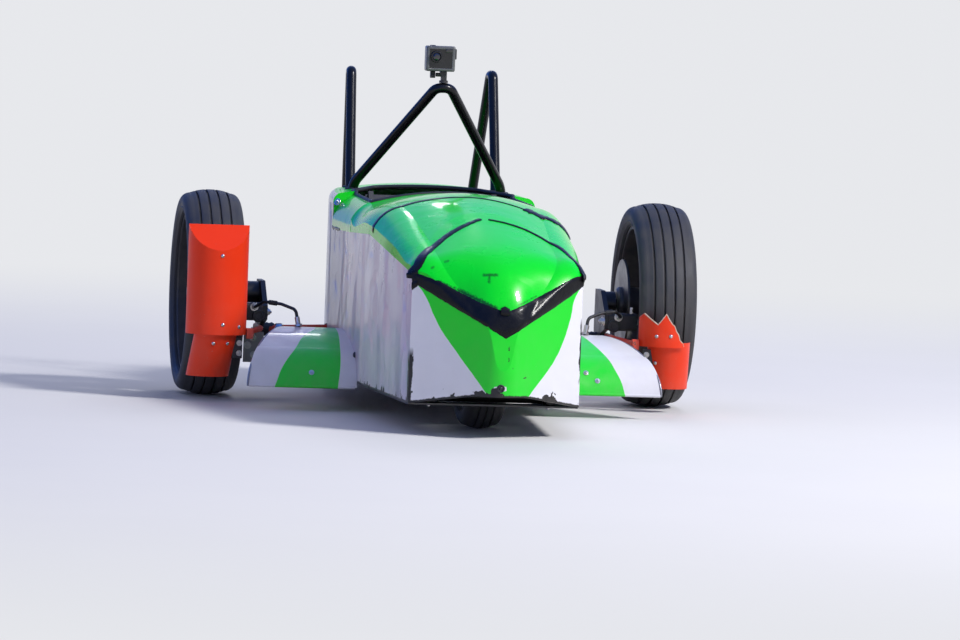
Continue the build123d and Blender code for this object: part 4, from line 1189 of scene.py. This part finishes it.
# Wheels: rim lips, wheel nuts, valves, and the discs' bolts
wheelTrim = {
    "lip": ((0.0525, 0.1895), (0.0525, 0.2075), (0.0545, 0.2095), (0.0565, 0.2085), (0.0575, 0.2055),
            (0.0560, 0.2030), (0.0556, 0.1975), (0.0560, 0.1900)),
    "nuts": {"count": 5, "circle": 0.058, "along": 0.0228, "size": 0.008, "turn": 0.0},
    "discBolts": {"count": 6, "circle": 0.052, "along": -0.0765, "size": 0.005, "turn": 0.0},
    "valve": {"along": 0.030, "radius": 0.1905, "turn": 1.3, "length": 0.034, "lean": 0.8},
    "frontLip": {"narrower": 0.62, "out": 0.0035, "smaller": 0.0475},
    "frontNuts": {"count": 5, "circle": 0.042, "along": 0.0078, "size": 0.0055, "turn": 0.62},
}


def spokeWay(turn):
    return Vector((0, math.cos(turn), math.sin(turn)))


def boltRing(name, centre, axis, ring, body):
    middle = centre + axis * ring["along"]
    turns = [2 * math.pi * k / ring["count"] + ring["turn"] for k in range(ring["count"])]
    rows = [(middle + spokeWay(turn) * ring["circle"], axis) for turn in turns]
    fastenerSet(name, boltForm, ring["size"], rows, body=body)


def makeRearWheelTrim(side, sign, size):
    body = f"wheel_rear_{side}"
    centre = rearHub(sign)
    axis = Vector((sign, 0, 0))
    for place, flip in (("outer", 1), ("inner", -1)):
        mesh = turned(size["lip"], 96, centre, axis * flip, closed=True, sharp=50)
        linkPiece(f"rim_lip_{place}_{side}", mesh, rimPaint, body)
    boltRing(f"wheel_nuts_{side}", centre, axis, size["nuts"], body)
    boltRing(f"disc_bolts_{side}", centre, axis, size["discBolts"], body)
    valve = size["valve"]
    length, spoke = valve["length"], spokeWay(valve["turn"])
    profile = [
        (-0.002, 0.0055), (length * 0.45, 0.005), (length * 0.5, 0.0035), (length * 0.72, 0.0033),
        (length * 0.73, 0.0046), (length * 0.98, 0.0046), (length, 0.0036),
    ]
    foot = centre + axis * valve["along"] + spoke * valve["radius"]
    mesh = turned(profile, 20, foot, (axis * valve["lean"] + spoke * -1.0).normalized())
    linkPiece(f"valve_{side}", mesh, softRubber, body)


def makeFrontWheelTrim(size):
    change = size["frontLip"]
    lip = [(a * change["narrower"] + change["out"], r - change["smaller"]) for a, r in size["lip"]]
    for place, flip in (("left", 1), ("right", -1)):
        axis = Vector((flip, 0, 0))
        mesh = turned(lip, 80, frontHub, axis, closed=True, sharp=50)
        linkPiece(f"front_rim_lip_{place}", mesh, rimPaint, "wheel_front")
        boltRing(f"front_wheel_nuts_{place}", frontHub, axis, size["frontNuts"], "wheel_front")


for side, sign in sides:
    makeRearWheelTrim(side, sign, wheelTrim)
makeFrontWheelTrim(wheelTrim)
print("wheel trims made")


# Suspension: lock nuts, bushes and boots on the arms, bolts on the uprights and calipers
armTrim = {
    "inner": 0.2412, "outer": 0.416, "spread": 0.095, "levels": (0.166, 0.108),
    "lockNut": {"share": 0.80, "size": 0.0155}, "bush": {"along": 0.009, "size": 0.0122}, "bootX": 0.4238,
    "boot": ((-0.030, 0.0158), (-0.024, 0.0185), (-0.018, 0.0162), (-0.012, 0.0185), (-0.006, 0.0162),
             (-0.0005, 0.0178)),
}
uprightTrim = {
    "lugBolts": ((0.4515, 0.1475), (0.4480, 0.1050), (0.4640, 0.1280)), "lugFace": 0.2730, "lugSize": 0.0062,
    "jointX": 0.4362, "jointSize": 0.0105,
    "caliper": {"ahead": 0.098, "apart": 0.013, "z": 0.216, "outer": (0.506, 0.006),
                "inner": (0.4238, 0.0075)},
    "bossPlace": (0.447, 0.2032, 0.206),
    "boss": ((-0.001, 0.016), (0.003, 0.0155), (0.0045, 0.014), (0.0045, 0.010), (0.003, 0.009),
             (0.003, 0.0002)),
    "nipplePlace": (0.492, 0.220, 0.238),
    "nipple": ((-0.001, 0.0055), (0.004, 0.0055), (0.0045, 0.0035), (0.010, 0.0034), (0.011, 0.0045),
               (0.015, 0.0042), (0.0155, 0.002)),
}
# Ferrules are (run of the route, share of it, radius, length, corners), the last one a bulkhead nut
hoseTrim = {
    "route": ((0.458, 0.1223, 0.228), (0.458, 0.158, 0.232), (0.440, 0.186, 0.246), (0.400, 0.204, 0.242),
              (0.366, 0.222, 0.230), (0.358, 0.228, 0.1882)),
    "ferrules": ((0, 0.30, 0.0062, 0.016, 24), (4, 0.62, 0.0062, 0.018, 24), (4, 0.90, 0.009, 0.007, 6)),
    "bevel": 0.001, "bolt": 0.007,
    "wrap": {"run": 2, "shares": (0.30, 0.38, 0.46, 0.54, 0.62, 0.70), "size": 0.0042},
}


def onSide(sign, place):
    return Vector((sign * place[0], place[1], place[2]))


def makeArmTrim(side, sign, size):
    nuts, bushes, boots = [], [], []
    for level in size["levels"]:
        for offset in (-size["spread"], size["spread"]):
            start = Vector((sign * size["inner"], y(offset), level))
            end = Vector((sign * size["outer"], y(0), level))
            way = (end - start).normalized()
            nuts.append((start.lerp(end, size["lockNut"]["share"]), way))
            bushes.append((start + way * size["bush"]["along"], way))
        boots.append(turned(size["boot"], 28, (sign * size["bootX"], y(0), level), (sign, 0, 0), sharp=60))
    fastenerSet(f"arm_lock_nuts_{side}", collarForm, size["lockNut"]["size"], nuts)
    fastenerSet(f"arm_bushes_{side}", ringForm, size["bush"]["size"], bushes, softRubber)
    linkPiece(f"joint_boots_{side}", joined(boots), softRubber)


def makeUprightTrim(side, sign, size):
    rows = [((sign * x, size["lugFace"], z), (0, -1, 0)) for x, z in size["lugBolts"]]
    for level in armTrim["levels"]:
        rows.append(((sign * size["jointX"], y(0), level), (sign, 0, 0), size["jointSize"]))
    caliper = size["caliper"]
    for (x, boltSize), way in ((caliper["outer"], sign), (caliper["inner"], -sign)):
        for apart in (-caliper["apart"], caliper["apart"]):
            rows.append(((sign * x, y(caliper["ahead"] + apart), caliper["z"]), (way, 0, 0), boltSize))
    fastenerSet(f"hub_bolts_{side}", boltForm, size["lugSize"], rows)
    boss = turned(size["boss"], 32, onSide(sign, size["bossPlace"]), (0, -1, 0))
    linkPiece(f"caliper_boss_{side}", boss, castBlack)
    nipple = turned(size["nipple"], 6, onSide(sign, size["nipplePlace"]), (0, 0, 1))
    linkPiece(f"bleed_nipple_{side}", nipple, zincBolt)


def makeHoseTrim(side, sign, size):
    corners = [Vector((sign * x, y(ahead), z)) for x, ahead, z in size["route"]]
    runs = list(zip(corners, corners[1:]))
    metal = []
    for run, share, radius, length, segments in size["ferrules"]:
        start, end = runs[run]
        half, narrow, full = length / 2, radius * 0.8, length / 2 - size["bevel"]
        profile = [(-half, narrow), (-full, radius), (full, radius), (half, narrow)]
        metal.append(turned(profile, segments, start.lerp(end, share), (end - start).normalized()))
    metal.append(boltForm(size["bolt"], corners[0] + Vector((0, 0.001, 0)), (0, -1, 0)))
    linkPiece(f"hose_ferrules_{side}", joined(metal), zincBolt)
    wrap = size["wrap"]
    start, end = runs[wrap["run"]]
    rings = [(start.lerp(end, share), (end - start).normalized()) for share in wrap["shares"]]
    fastenerSet(f"hose_wrap_{side}", ringForm, wrap["size"], rings, softRubber)


for side, sign in sides:
    makeArmTrim(side, sign, armTrim)
    makeUprightTrim(side, sign, uprightTrim)
    makeHoseTrim(side, sign, hoseTrim)
print("suspension trims made")


# Mudguards: rivets, a clamp on the inner edge, and the pale edge left by the break.
# x counts from the wheel's middle.
guardTrim = {
    "rivets": {
        "right": ((0.0044, 0.3619), (0.0105, 0.1925), (0.0523, 0.1874), (-0.010, 0.1455), (0.0255, 0.1459)),
        "left": ((-0.0388, 0.1941), (-0.0045, 0.1958), (-0.047, 0.1424), (-0.036, 0.1268)),
    },
    "rivetSize": 0.0048,
    "clamp": {"x": -0.046, "inward": 0.020, "outward": 0.006, "low": 0.108, "high": 0.160, "proud": 0.0055,
              "sunk": 0.0015, "round": 0.002, "bolts": (0.013, 0.038), "boltIn": 0.008, "boltSize": 0.0048},
    "torn": ((-0.066, 0.249), (-0.050, 0.234), (-0.036, 0.223), (-0.026, 0.236), (-0.017, 0.250),
             (-0.009, 0.236), (-0.002, 0.226), (0.004, 0.221), (0.009, 0.208), (0.015, 0.200), (0.019, 0.186),
             (0.027, 0.178), (0.031, 0.170)),
    "tornGap": 0.004, "tornSize": 0.0018,
}


def makeGuardClamp(side, sign, tree, size):
    middle = wheelPlaces["track"] + size["x"]
    found = frontSpot(tree, sign * middle, (size["low"] + size["high"]) / 2)
    if not found:
        return
    inner, outer = sign * (middle - size["inward"]), sign * (middle + size["outward"])
    front = found[0].y - size["proud"]
    low = (min(inner, outer), front, size["low"])
    high = (max(inner, outer), found[0].y + size["sunk"], size["high"])
    clamp = roundedBox(low, high, size["round"])
    linkPiece(f"guard_clamp_{side}", clamp, castBlack, smooth=False)
    bolts = [((inner + sign * size["boltIn"], front, size["low"] + up), (0, -1, 0)) for up in size["bolts"]]
    fastenerSet(f"guard_clamp_bolts_{side}", boltForm, size["boltSize"], bolts)


def makeGuardTrim(side, sign, size):
    tree = guardTrees[side]
    wheelX = sign * wheelPlaces["track"]
    spots = [frontSpot(tree, wheelX + x, z) for x, z in size["rivets"][side]]
    fastenerSet(f"guard_rivets_{side}", rivetForm, size["rivetSize"], [spot for spot in spots if spot])
    makeGuardClamp(side, sign, tree, size["clamp"])
    if side == "left":
        spots = [frontSpot(tree, wheelX + x, z - 0.0012) for x, z in alongEdge(size["torn"], size["tornGap"])]
        edge = [spot[0] + Vector((0, 0.0015, 0.001)) for spot in spots if spot]
        layTube("torn_guard_edge", edge, size["tornSize"], paleBreak, corners=6)


for side, sign in sides:
    makeGuardTrim(side, sign, guardTrim)


# Cowl joints: the step between cowl and deck closed with sheet, a bolt, and a ragged black line on each cowl
cowlJoint = {
    "cowl": ((0.199, 0.5085), (0.210, 0.5060), (0.220, 0.5015), (0.230, 0.4940), (0.240, 0.4835),
             (0.245, 0.4765), (0.250, 0.4670), (0.2535, 0.4570), (0.2550, 0.4373), (0.2535, 0.4240)),
    "deck": ((0.199, 0.5170), (0.212, 0.5155), (0.224, 0.5135), (0.234, 0.5118), (0.2425, 0.5090),
             (0.2475, 0.5050), (0.2510, 0.5005), (0.2530, 0.4950), (0.2532, 0.4600), (0.2545, 0.4240)),
    "y": 0.3238, "bolt": (0.2455, 0.3215, 0.4905), "boltWay": (0.5, -0.8, 0.3), "boltSize": 0.0062,
    "seam": {"rear": 0.318, "front": 0.012, "z": 0.4265, "steps": 40, "width": 0.0075, "height": 0.0012,
             "ragged": 0.0022},
}


def makeCowlJoint(side, sign, size):
    verts = [(sign * x, size["y"], z) for x, z in size["cowl"] + size["deck"]]
    count = len(size["cowl"])
    faces = [(i, i + 1, count + i + 1, count + i) for i in range(count - 1)]
    linkPiece(f"cowl_joint_{side}", meshFrom(verts, faces), greenPaint, smooth=False)
    bolt = (onSide(sign, size["bolt"]), onSide(sign, size["boltWay"]))
    fastenerSet(f"cowl_bolt_{side}", boltForm, size["boltSize"], [bolt])
    tree = shellTree([f"cockpit_cowl_{side}"])
    seam = size["seam"]
    track = []
    for k in range(seam["steps"] + 1):
        place = seam["rear"] + (seam["front"] - seam["rear"]) * k / seam["steps"]
        found = castTo(tree, (sign * 3, place, seam["z"]), (0, place, seam["z"]))
        if found:
            track.append((*found, seam["width"], seam["height"]))
    layStrip(f"cowl_seam_{side}", track, seam["ragged"], seed=8)


for side, sign in sides:
    makeCowlJoint(side, sign, cowlJoint)


# Side fairings: bolts, a bright metal tube along the outer rim as a painted highlight of the rounded edge,
# and the rolled lip
wingTrim = {
    "rear": 0.220, "front": 0.500, "low": 0.060, "top": 0.188, "rearX": 0.402, "frontX": 0.510,
    "bolts": {"right": ((0.3533, 0.0939),), "left": ((0.3240, 0.1106), (0.3513, 0.0926))}, "boltSize": 0.0045,
    "rim": {"radius": 0.0028, "steps": 36},
    "lip": {"radius": 0.0042, "steps": 24, "from": 0.247, "to": 0.507},
}


def makeWingTrim(side, sign, size):
    rim = []
    run = size["front"] - size["rear"]
    for step in range(size["rim"]["steps"] + 1):
        turn = math.radians(90 * step / size["rim"]["steps"])
        ahead = size["rear"] + run * math.cos(turn)
        z = size["low"] + (size["top"] - size["low"]) * math.sin(turn)
        x = size["rearX"] + (size["frontX"] - size["rearX"]) * (ahead - size["rear"]) / run
        rim.append((sign * (x - 0.001), y(ahead) + 0.0015 * math.cos(turn), z - 0.002))
    # A bright metal tube along the outer rim: a painted highlight of the fairing's rounded edge
    layTube(f"wing_edge_highlight_{side}", rim, size["rim"]["radius"], edgeHighlightMetal)
    lip = size["lip"]
    across = [lip["from"] + (lip["to"] - lip["from"]) * k / lip["steps"] for k in range(lip["steps"] + 1)]
    edge = [(sign * x, y(size["front"]) + 0.003, size["low"] + 0.0005) for x in across]
    layTube(f"wing_lip_{side}", edge, lip["radius"], wingFinishes[side])
    spots = [frontSpot(wingTrees[side], sign * x, z) for x, z in size["bolts"][side]]
    fastenerSet(f"wing_bolts_{side}", boltForm, size["boltSize"], [spot for spot in spots if spot])


for side, sign in sides:
    makeWingTrim(side, sign, wingTrim)
print("guard and fairing trims made")


# Nose: a ringed bolt low on the tip, and a knob low on the right flank
noseTrim = {
    "tip": (-0.0045, 0.122), "ring": 0.0075, "bolt": 0.0052, "knob": (-0.127, 0.137), "knobSize": 0.0085,
}


def makeNoseTrim(size):
    tip = frontSpot(noseTree, *size["tip"])
    fastenerSet("tip_ring", ringForm, size["ring"], [tip], softRubber)
    fastenerSet("tip_bolt", rivetForm, size["bolt"], [tip], castBlack)
    knob = castTo(noseTree, (-3, *size["knob"]), (3, *size["knob"]))
    fastenerSet("side_knob", rivetForm, size["knobSize"], [knob], castBlack)


makeNoseTrim(noseTrim)


# Cockpit: a rubber edge round the mouth, and grommets where the hoops pass the deck
cockpitTrim = {
    "corners": ((-0.1985, 0.3190), (0.1985, 0.3190), (0.1985, -0.0615), (0.1370, -0.1525), (-0.1370, -0.1525),
                (-0.1985, -0.0615)),
    "radius": 0.0055, "gap": 0.018,
    "grommets": ((0.190, -0.150), (0.186, -0.228)), "grommetOut": 0.019, "grommetSize": 0.0150,
    "grommetThick": 0.0042,
}


def makeCockpitTrim(size):
    corners = list(size["corners"])
    edge = []
    for (xa, aa), (xb, ab) in zip(corners, corners[1:] + corners[:1]):
        steps = max(1, round(math.hypot(xb - xa, ab - aa) / size["gap"]))
        for k in range(steps):
            found = topSpot(bodyTree, xa + (xb - xa) * k / steps, y(aa + (ab - aa) * k / steps))
            if found:
                edge.append(found[0] + Vector((0, 0, -0.001)))
    layTube("cockpit_edge", edge, size["radius"], softRubber, cyclic=True)
    rings = []
    for x, ahead in size["grommets"]:
        for sign in (-1, 1):
            found = topSpot(bodyTree, sign * (x + size["grommetOut"]), y(ahead))
            if found:
                place = (sign * x, y(ahead), found[0].z + 0.001)
                rings.append(ringForm(size["grommetSize"], place, (0, 0, 1), size["grommetThick"]))
    linkPiece("hoop_grommets", joined(rings), softRubber)


makeCockpitTrim(cockpitTrim)


# Camera: silver case, black front, lens, shutter button, latch and a knurled screw on its mount
cameraCase = {
    "low": (-0.0475, 0.2205, 0.8271), "high": (0.0255, 0.2600, 0.8905), "round": 0.0055,
    "bezels": ((0.0026, 0), (0.0008, -0.0028)),
    "lens": (-0.0227, 0.2205, 0.8639),
    "barrel": ((-0.004, 0.0148), (0.004, 0.0148), (0.0052, 0.0142), (0.0088, 0.0138), (0.0094, 0.0130),
               (0.0094, 0.0112), (0.006, 0.0105), (0.006, 0.0002)),
    "glass": ((0.0058, 0.0106), (0.0072, 0.0085), (0.0080, 0.0050), (0.0083, 0.0002)),
    "window": ((0.001, 0.2195, 0.8745), (0.018, 0.2240, 0.8840), 0.0012),
    "latch": ((0.0248, 0.228, 0.858), (0.0292, 0.252, 0.884), 0.0015),
    "buttonPlace": (-0.030, 0.240),
    "button": ((-0.001, 0.0075), (0.0012, 0.0075), (0.0018, 0.0066), (0.0018, 0.0045), (0.0012, 0.0040),
               (0.0012, 0.0002)),
    "fingers": {"x": (-0.0105, -0.0045, 0.0015), "wide": 0.003, "low": (0.2335, 0.8190),
                "high": (0.2465, 0.8280), "round": 0.001},
    "screw": {"x": (-0.034, -0.022), "y": 0.240, "z": 0.8187, "points": 60, "crest": 0.0085, "root": 0.0074},
}


# The case's front and back faces are framed and sunk, and take the black finish
def makeCameraShell(size):
    shape = bmesh.new()
    shape.from_mesh(roundedBox(size["low"], size["high"], size["round"]))
    large = [face for face in shape.faces if face.calc_area() > 0.002]
    for pick in (min, max):
        face = pick(large, key=lambda face: face.calc_center_median().y)
        for thickness, depth in size["bezels"]:
            bmesh.ops.inset_region(shape, faces=[face], thickness=thickness, depth=depth)
        face.material_index = 1
    mesh = bpy.data.meshes.new("camera_case")
    shape.to_mesh(mesh)
    shape.free()
    for face in mesh.polygons:
        face.use_smooth = face.area < 0.0006
    mesh.materials.append(cameraGrey)
    mesh.materials.append(cameraBlack)
    case = bpy.data.objects.new("camera_case", mesh)
    bpy.context.scene.collection.objects.link(case)
    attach(case, "root")
    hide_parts("camera")


def makeCameraFittings(size):
    front = (0, -1, 0)
    buttonPlace = (*size["buttonPlace"], size["high"][2])
    fingers = size["fingers"]
    feet = [
        roundedBox((x, *fingers["low"]), (x + fingers["wide"], *fingers["high"]), fingers["round"])
        for x in fingers["x"]
    ]
    for name, mesh, finish in (
        ("camera_lens_barrel", turned(size["barrel"], 48, size["lens"], front), cameraBlack),
        ("camera_lens_glass", turned(size["glass"], 40, size["lens"], front), lensGlass),
        ("camera_window", roundedBox(*size["window"]), lensGlass),
        ("camera_button", turned(size["button"], 28, buttonPlace, (0, 0, 1)), cameraBlack),
        ("camera_latch", roundedBox(*size["latch"]), cameraBlack),
        ("camera_fingers", joined(feet), cameraBlack),
    ):
        linkPiece(name, mesh, finish)
    screw = size["screw"]
    verts = []
    for x in screw["x"]:
        for k in range(screw["points"]):
            turn = 2 * math.pi * k / screw["points"]
            radius = screw["crest"] if k % 3 else screw["root"]
            verts.append((x, screw["y"] + radius * math.cos(turn), screw["z"] + radius * math.sin(turn)))
    linkPiece("camera_screw", meshFrom(verts, tubeFaces(2, screw["points"]), 60), castBlack)


makeCameraShell(cameraCase)
makeCameraFittings(cameraCase)
print("cockpit edge and camera made")


# Frame: weld beads at the cross tubes, bolt heads under the floor, rivets round the tail
frameTrim = {
    "welds": {"ahead": (1.085, 0.64, 0.29, 0.0, -0.20, -0.56), "x": 0.1255, "z": 0.0900, "size": 0.0142},
    "bolts": {"ahead": (1.06, 0.86, 0.5, 0.2, -0.1, -0.35, -0.52), "x": 0.142, "z": 0.0698, "size": 0.0065},
    "rivets": {"step": 0.055, "low": 0.105, "high": 0.325, "x": 0.170, "size": 0.004},
}


def pairsAlong(row, axis):
    return [((sign * row["x"], y(ahead), row["z"]), axis) for ahead in row["ahead"] for sign in (-1, 1)]


def makeFrameTrim(size):
    welds, bolts = size["welds"], size["bolts"]
    fastenerSet("frame_welds", ringForm, welds["size"], pairsAlong(welds, (1, 0, 0)), blackPaint)
    fastenerSet("floor_bolts", boltForm, bolts["size"], pairsAlong(bolts, (0, 0, -1)))
    tailTree = shellTree(["tail_panel"])
    rivets = size["rivets"]
    rows = []
    z = rivets["low"]
    while z < rivets["high"]:
        for sign in (-1, 1):
            found = castTo(tailTree, (sign * rivets["x"], 3, z), (sign * rivets["x"], -3, z))
            if found:
                rows.append(found)
        z += rivets["step"]
    fastenerSet("tail_rivets", rivetForm, rivets["size"], rows)


makeFrameTrim(frameTrim)


# Handlebar grips with ribs, in the bar's raked frame
gripShape = {
    "pivot": (0, 0.149, 0.396), "rake": 20, "inner": (0.105, 0.0214, 0.0514),
    "outer": (0.1515, 0.0344, 0.0583), "radius": 0.0145, "ribs": 9,
    "flange": ((-0.003, 0.0112), (-0.003, 0.0185), (0.001, 0.0185)),
}


def makeGrips(size):
    tilt = Matrix.Rotation(math.radians(-size["rake"]), 3, "X")
    radius = size["radius"]
    for side, sign in sides:
        start, end = [Vector(size["pivot"]) + tilt @ onSide(sign, size[key]) for key in ("inner", "outer")]
        length = (end - start).length
        profile = [*size["flange"], (0.002, radius)]
        for k in range(size["ribs"]):
            spot = 0.004 + (length - 0.006) * k / size["ribs"]
            profile += [(spot, radius - 0.001), (spot + 0.0012, radius), (spot + 0.003, radius)]
        profile += [(length, radius), (length + 0.002, radius - 0.003), (length + 0.002, 0.0002)]
        grip = turned(profile, 28, start, end - start, sharp=40)
        linkPiece(f"grip_{side}", grip, softRubber, "handlebar")


makeGrips(gripShape)


# Pedal rubbers: a thin pad with cross ribs on the face towards the seat
pedalTrim = {
    "x": 0.164, "half": 0.036, "face": -0.3000, "low": 0.149, "high": 0.263, "thick": 0.004, "ribs": 9,
    "ribTop": 0.0062, "ribHalf": 0.0022, "margin": 0.008,
}


def makePedalRubbers(size):
    meshes = []
    face, half, margin = size["face"], size["half"], size["margin"]
    for sign in (-1, 1):
        x = sign * size["x"]
        low, high = (x - half, face - 0.001, size["low"]), (x + half, face + size["thick"], size["high"])
        meshes.append(roundedBox(low, high, 0.0016))
        for k in range(size["ribs"]):
            z = size["low"] + margin + (size["high"] - size["low"] - 2 * margin) * k / (size["ribs"] - 1)
            low = (x - half + 0.004, face + 0.003, z - size["ribHalf"])
            high = (x + half - 0.004, face + size["ribTop"], z + size["ribHalf"])
            meshes.append(roundedBox(low, high, 0.001))
    linkPiece("pedal_rubbers", joined(meshes), softRubber)


makePedalRubbers(pedalTrim)


# Seat pad: a long pad with sewn channels, bent to the shell, then puffed with a cloth simulation
padShape = {
    "corners": ((0.238, 0.1378), (0.060, 0.0978), (-0.112, 0.5038)), "bend": 0.110, "lineSteps": (30, 40, 60),
    "off": 0.0178, "half": 0.1445, "thick": 0.0135, "start": 0.018, "end": 0.955, "channels": 10, "rows": 120,
    "cross": 44, "pressure": 4.0, "frames": 20, "cap": 0.006, "voxel": 0.0045,
}


def benchLine(size):
    (a1, z1), (a2, z2), (a3, z3) = size["corners"]
    p1, p2, p3 = Vector((y(a1), z1)), Vector((y(a2), z2)), Vector((y(a3), z3))
    into, out = (p2 - p1).normalized(), (p3 - p2).normalized()
    turn = math.acos(into.dot(out))
    reach = size["bend"] * math.tan(turn / 2)
    t1, t2 = p2 - into * reach, p2 + out * reach
    normal = Vector((-into.y, into.x))
    centre = t1 + normal * size["bend"]
    first, middle, last = size["lineSteps"]
    line = [(p1.lerp(t1, k / first), normal) for k in range(first)]
    for k in range(middle):
        spin = Matrix.Rotation(turn * k / middle, 2)
        line.append((centre + spin @ (t1 - centre), spin @ normal))
    upright = Vector((-out.y, out.x))
    return line + [(t2.lerp(p3, k / last), upright) for k in range(last + 1)]


def walkLine(line, share):
    lengths = [0.0]
    for before, after in zip(line, line[1:]):
        lengths.append(lengths[-1] + (after[0] - before[0]).length)
    goal = share * lengths[-1]
    for index in range(len(line) - 1):
        if lengths[index + 1] >= goal:
            part = (goal - lengths[index]) / max(lengths[index + 1] - lengths[index], 1e-9)
            place = line[index][0].lerp(line[index + 1][0], part)
            return place, line[index][1].lerp(line[index + 1][1], part).normalized()
    return line[-1]


def puffCloth(piece, size):
    before = [v.co.copy() for v in piece.data.vertices]
    cloth = piece.modifiers.new("puff", "CLOTH")
    settings = cloth.settings
    settings.quality = 5
    settings.mass = 0.25
    settings.tension_stiffness = 12
    settings.compression_stiffness = 12
    settings.bending_stiffness = 0.4
    settings.use_pressure = True
    settings.uniform_pressure_force = size["pressure"]
    settings.effector_weights.gravity = 0
    cloth.point_cache.frame_start = 1
    cloth.point_cache.frame_end = size["frames"]
    for frameNumber in range(1, size["frames"] + 1):
        bpy.context.scene.frame_set(frameNumber)
    result = bpy.data.meshes.new_from_object(piece.evaluated_get(bpy.context.evaluated_depsgraph_get()))
    for vert, start in zip(result.vertices, before):
        move = vert.co - start
        if move.length > size["cap"]:
            vert.co = start + move * (size["cap"] / move.length)
    piece.modifiers.remove(cloth)
    piece.data = result
    bpy.context.scene.frame_set(1)


def makeSeatPad(size):
    line = benchLine(size)
    rows = []
    for row in range(size["rows"] + 1):
        share = size["start"] + (size["end"] - size["start"]) * row / size["rows"]
        place, normal = walkLine(line, share)
        rows.append((place, normal, row / size["rows"]))
    verts = []
    count = size["cross"] + 1
    for face in (1, -1):
        for place, normal, share in rows:
            puff = abs(math.sin(math.pi * size["channels"] * share)) ** 0.45
            end = min(1, 12 * min(share, 1 - share)) ** 0.5
            for step in range(count):
                across = -1 + 2 * step / size["cross"]
                edge = (1 - abs(across) ** 8) ** 0.5
                swell = size["thick"] / 2 * (0.30 + 0.70 * puff) * max(edge * end, 0.06)
                spot = place + normal * (size["off"] + face * swell)
                verts.append((across * size["half"] * (1 - 0.02 * (1 - end)), spot.x, spot.y))
    half = len(rows) * count
    faces = []
    for row in range(len(rows) - 1):
        for step in range(size["cross"]):
            a = row * count + step
            faces.append((a, a + 1, a + count + 1, a + count))
            faces.append((half + a, half + a + count, half + a + count + 1, half + a + 1))
    rim = list(range(count)) + [row * count + count - 1 for row in range(1, len(rows))]
    rim += [(len(rows) - 1) * count + step for step in range(count - 2, -1, -1)]
    rim += [row * count for row in range(len(rows) - 2, 0, -1)]
    for a, b in zip(rim, rim[1:] + rim[:1]):
        faces.append((a, b, half + b, half + a))
    piece = linkPiece("seat_cushion", meshFrom(verts, faces, 180), None)
    remesh = piece.modifiers.new("even", "REMESH")
    remesh.mode = "VOXEL"
    remesh.voxel_size = size["voxel"]
    even = bpy.data.meshes.new_from_object(piece.evaluated_get(bpy.context.evaluated_depsgraph_get()))
    piece.modifiers.remove(remesh)
    piece.data = even
    puffCloth(piece, size)
    for face in piece.data.polygons:
        face.use_smooth = True
    piece.data.materials.clear()
    piece.data.materials.append(padFabric)
    piece.modifiers.new("finer", "SUBSURF").levels = 1
    piece.modifiers["finer"].render_levels = 1
    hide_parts("seat_pad")


makeSeatPad(padShape)
print("seat pad made")
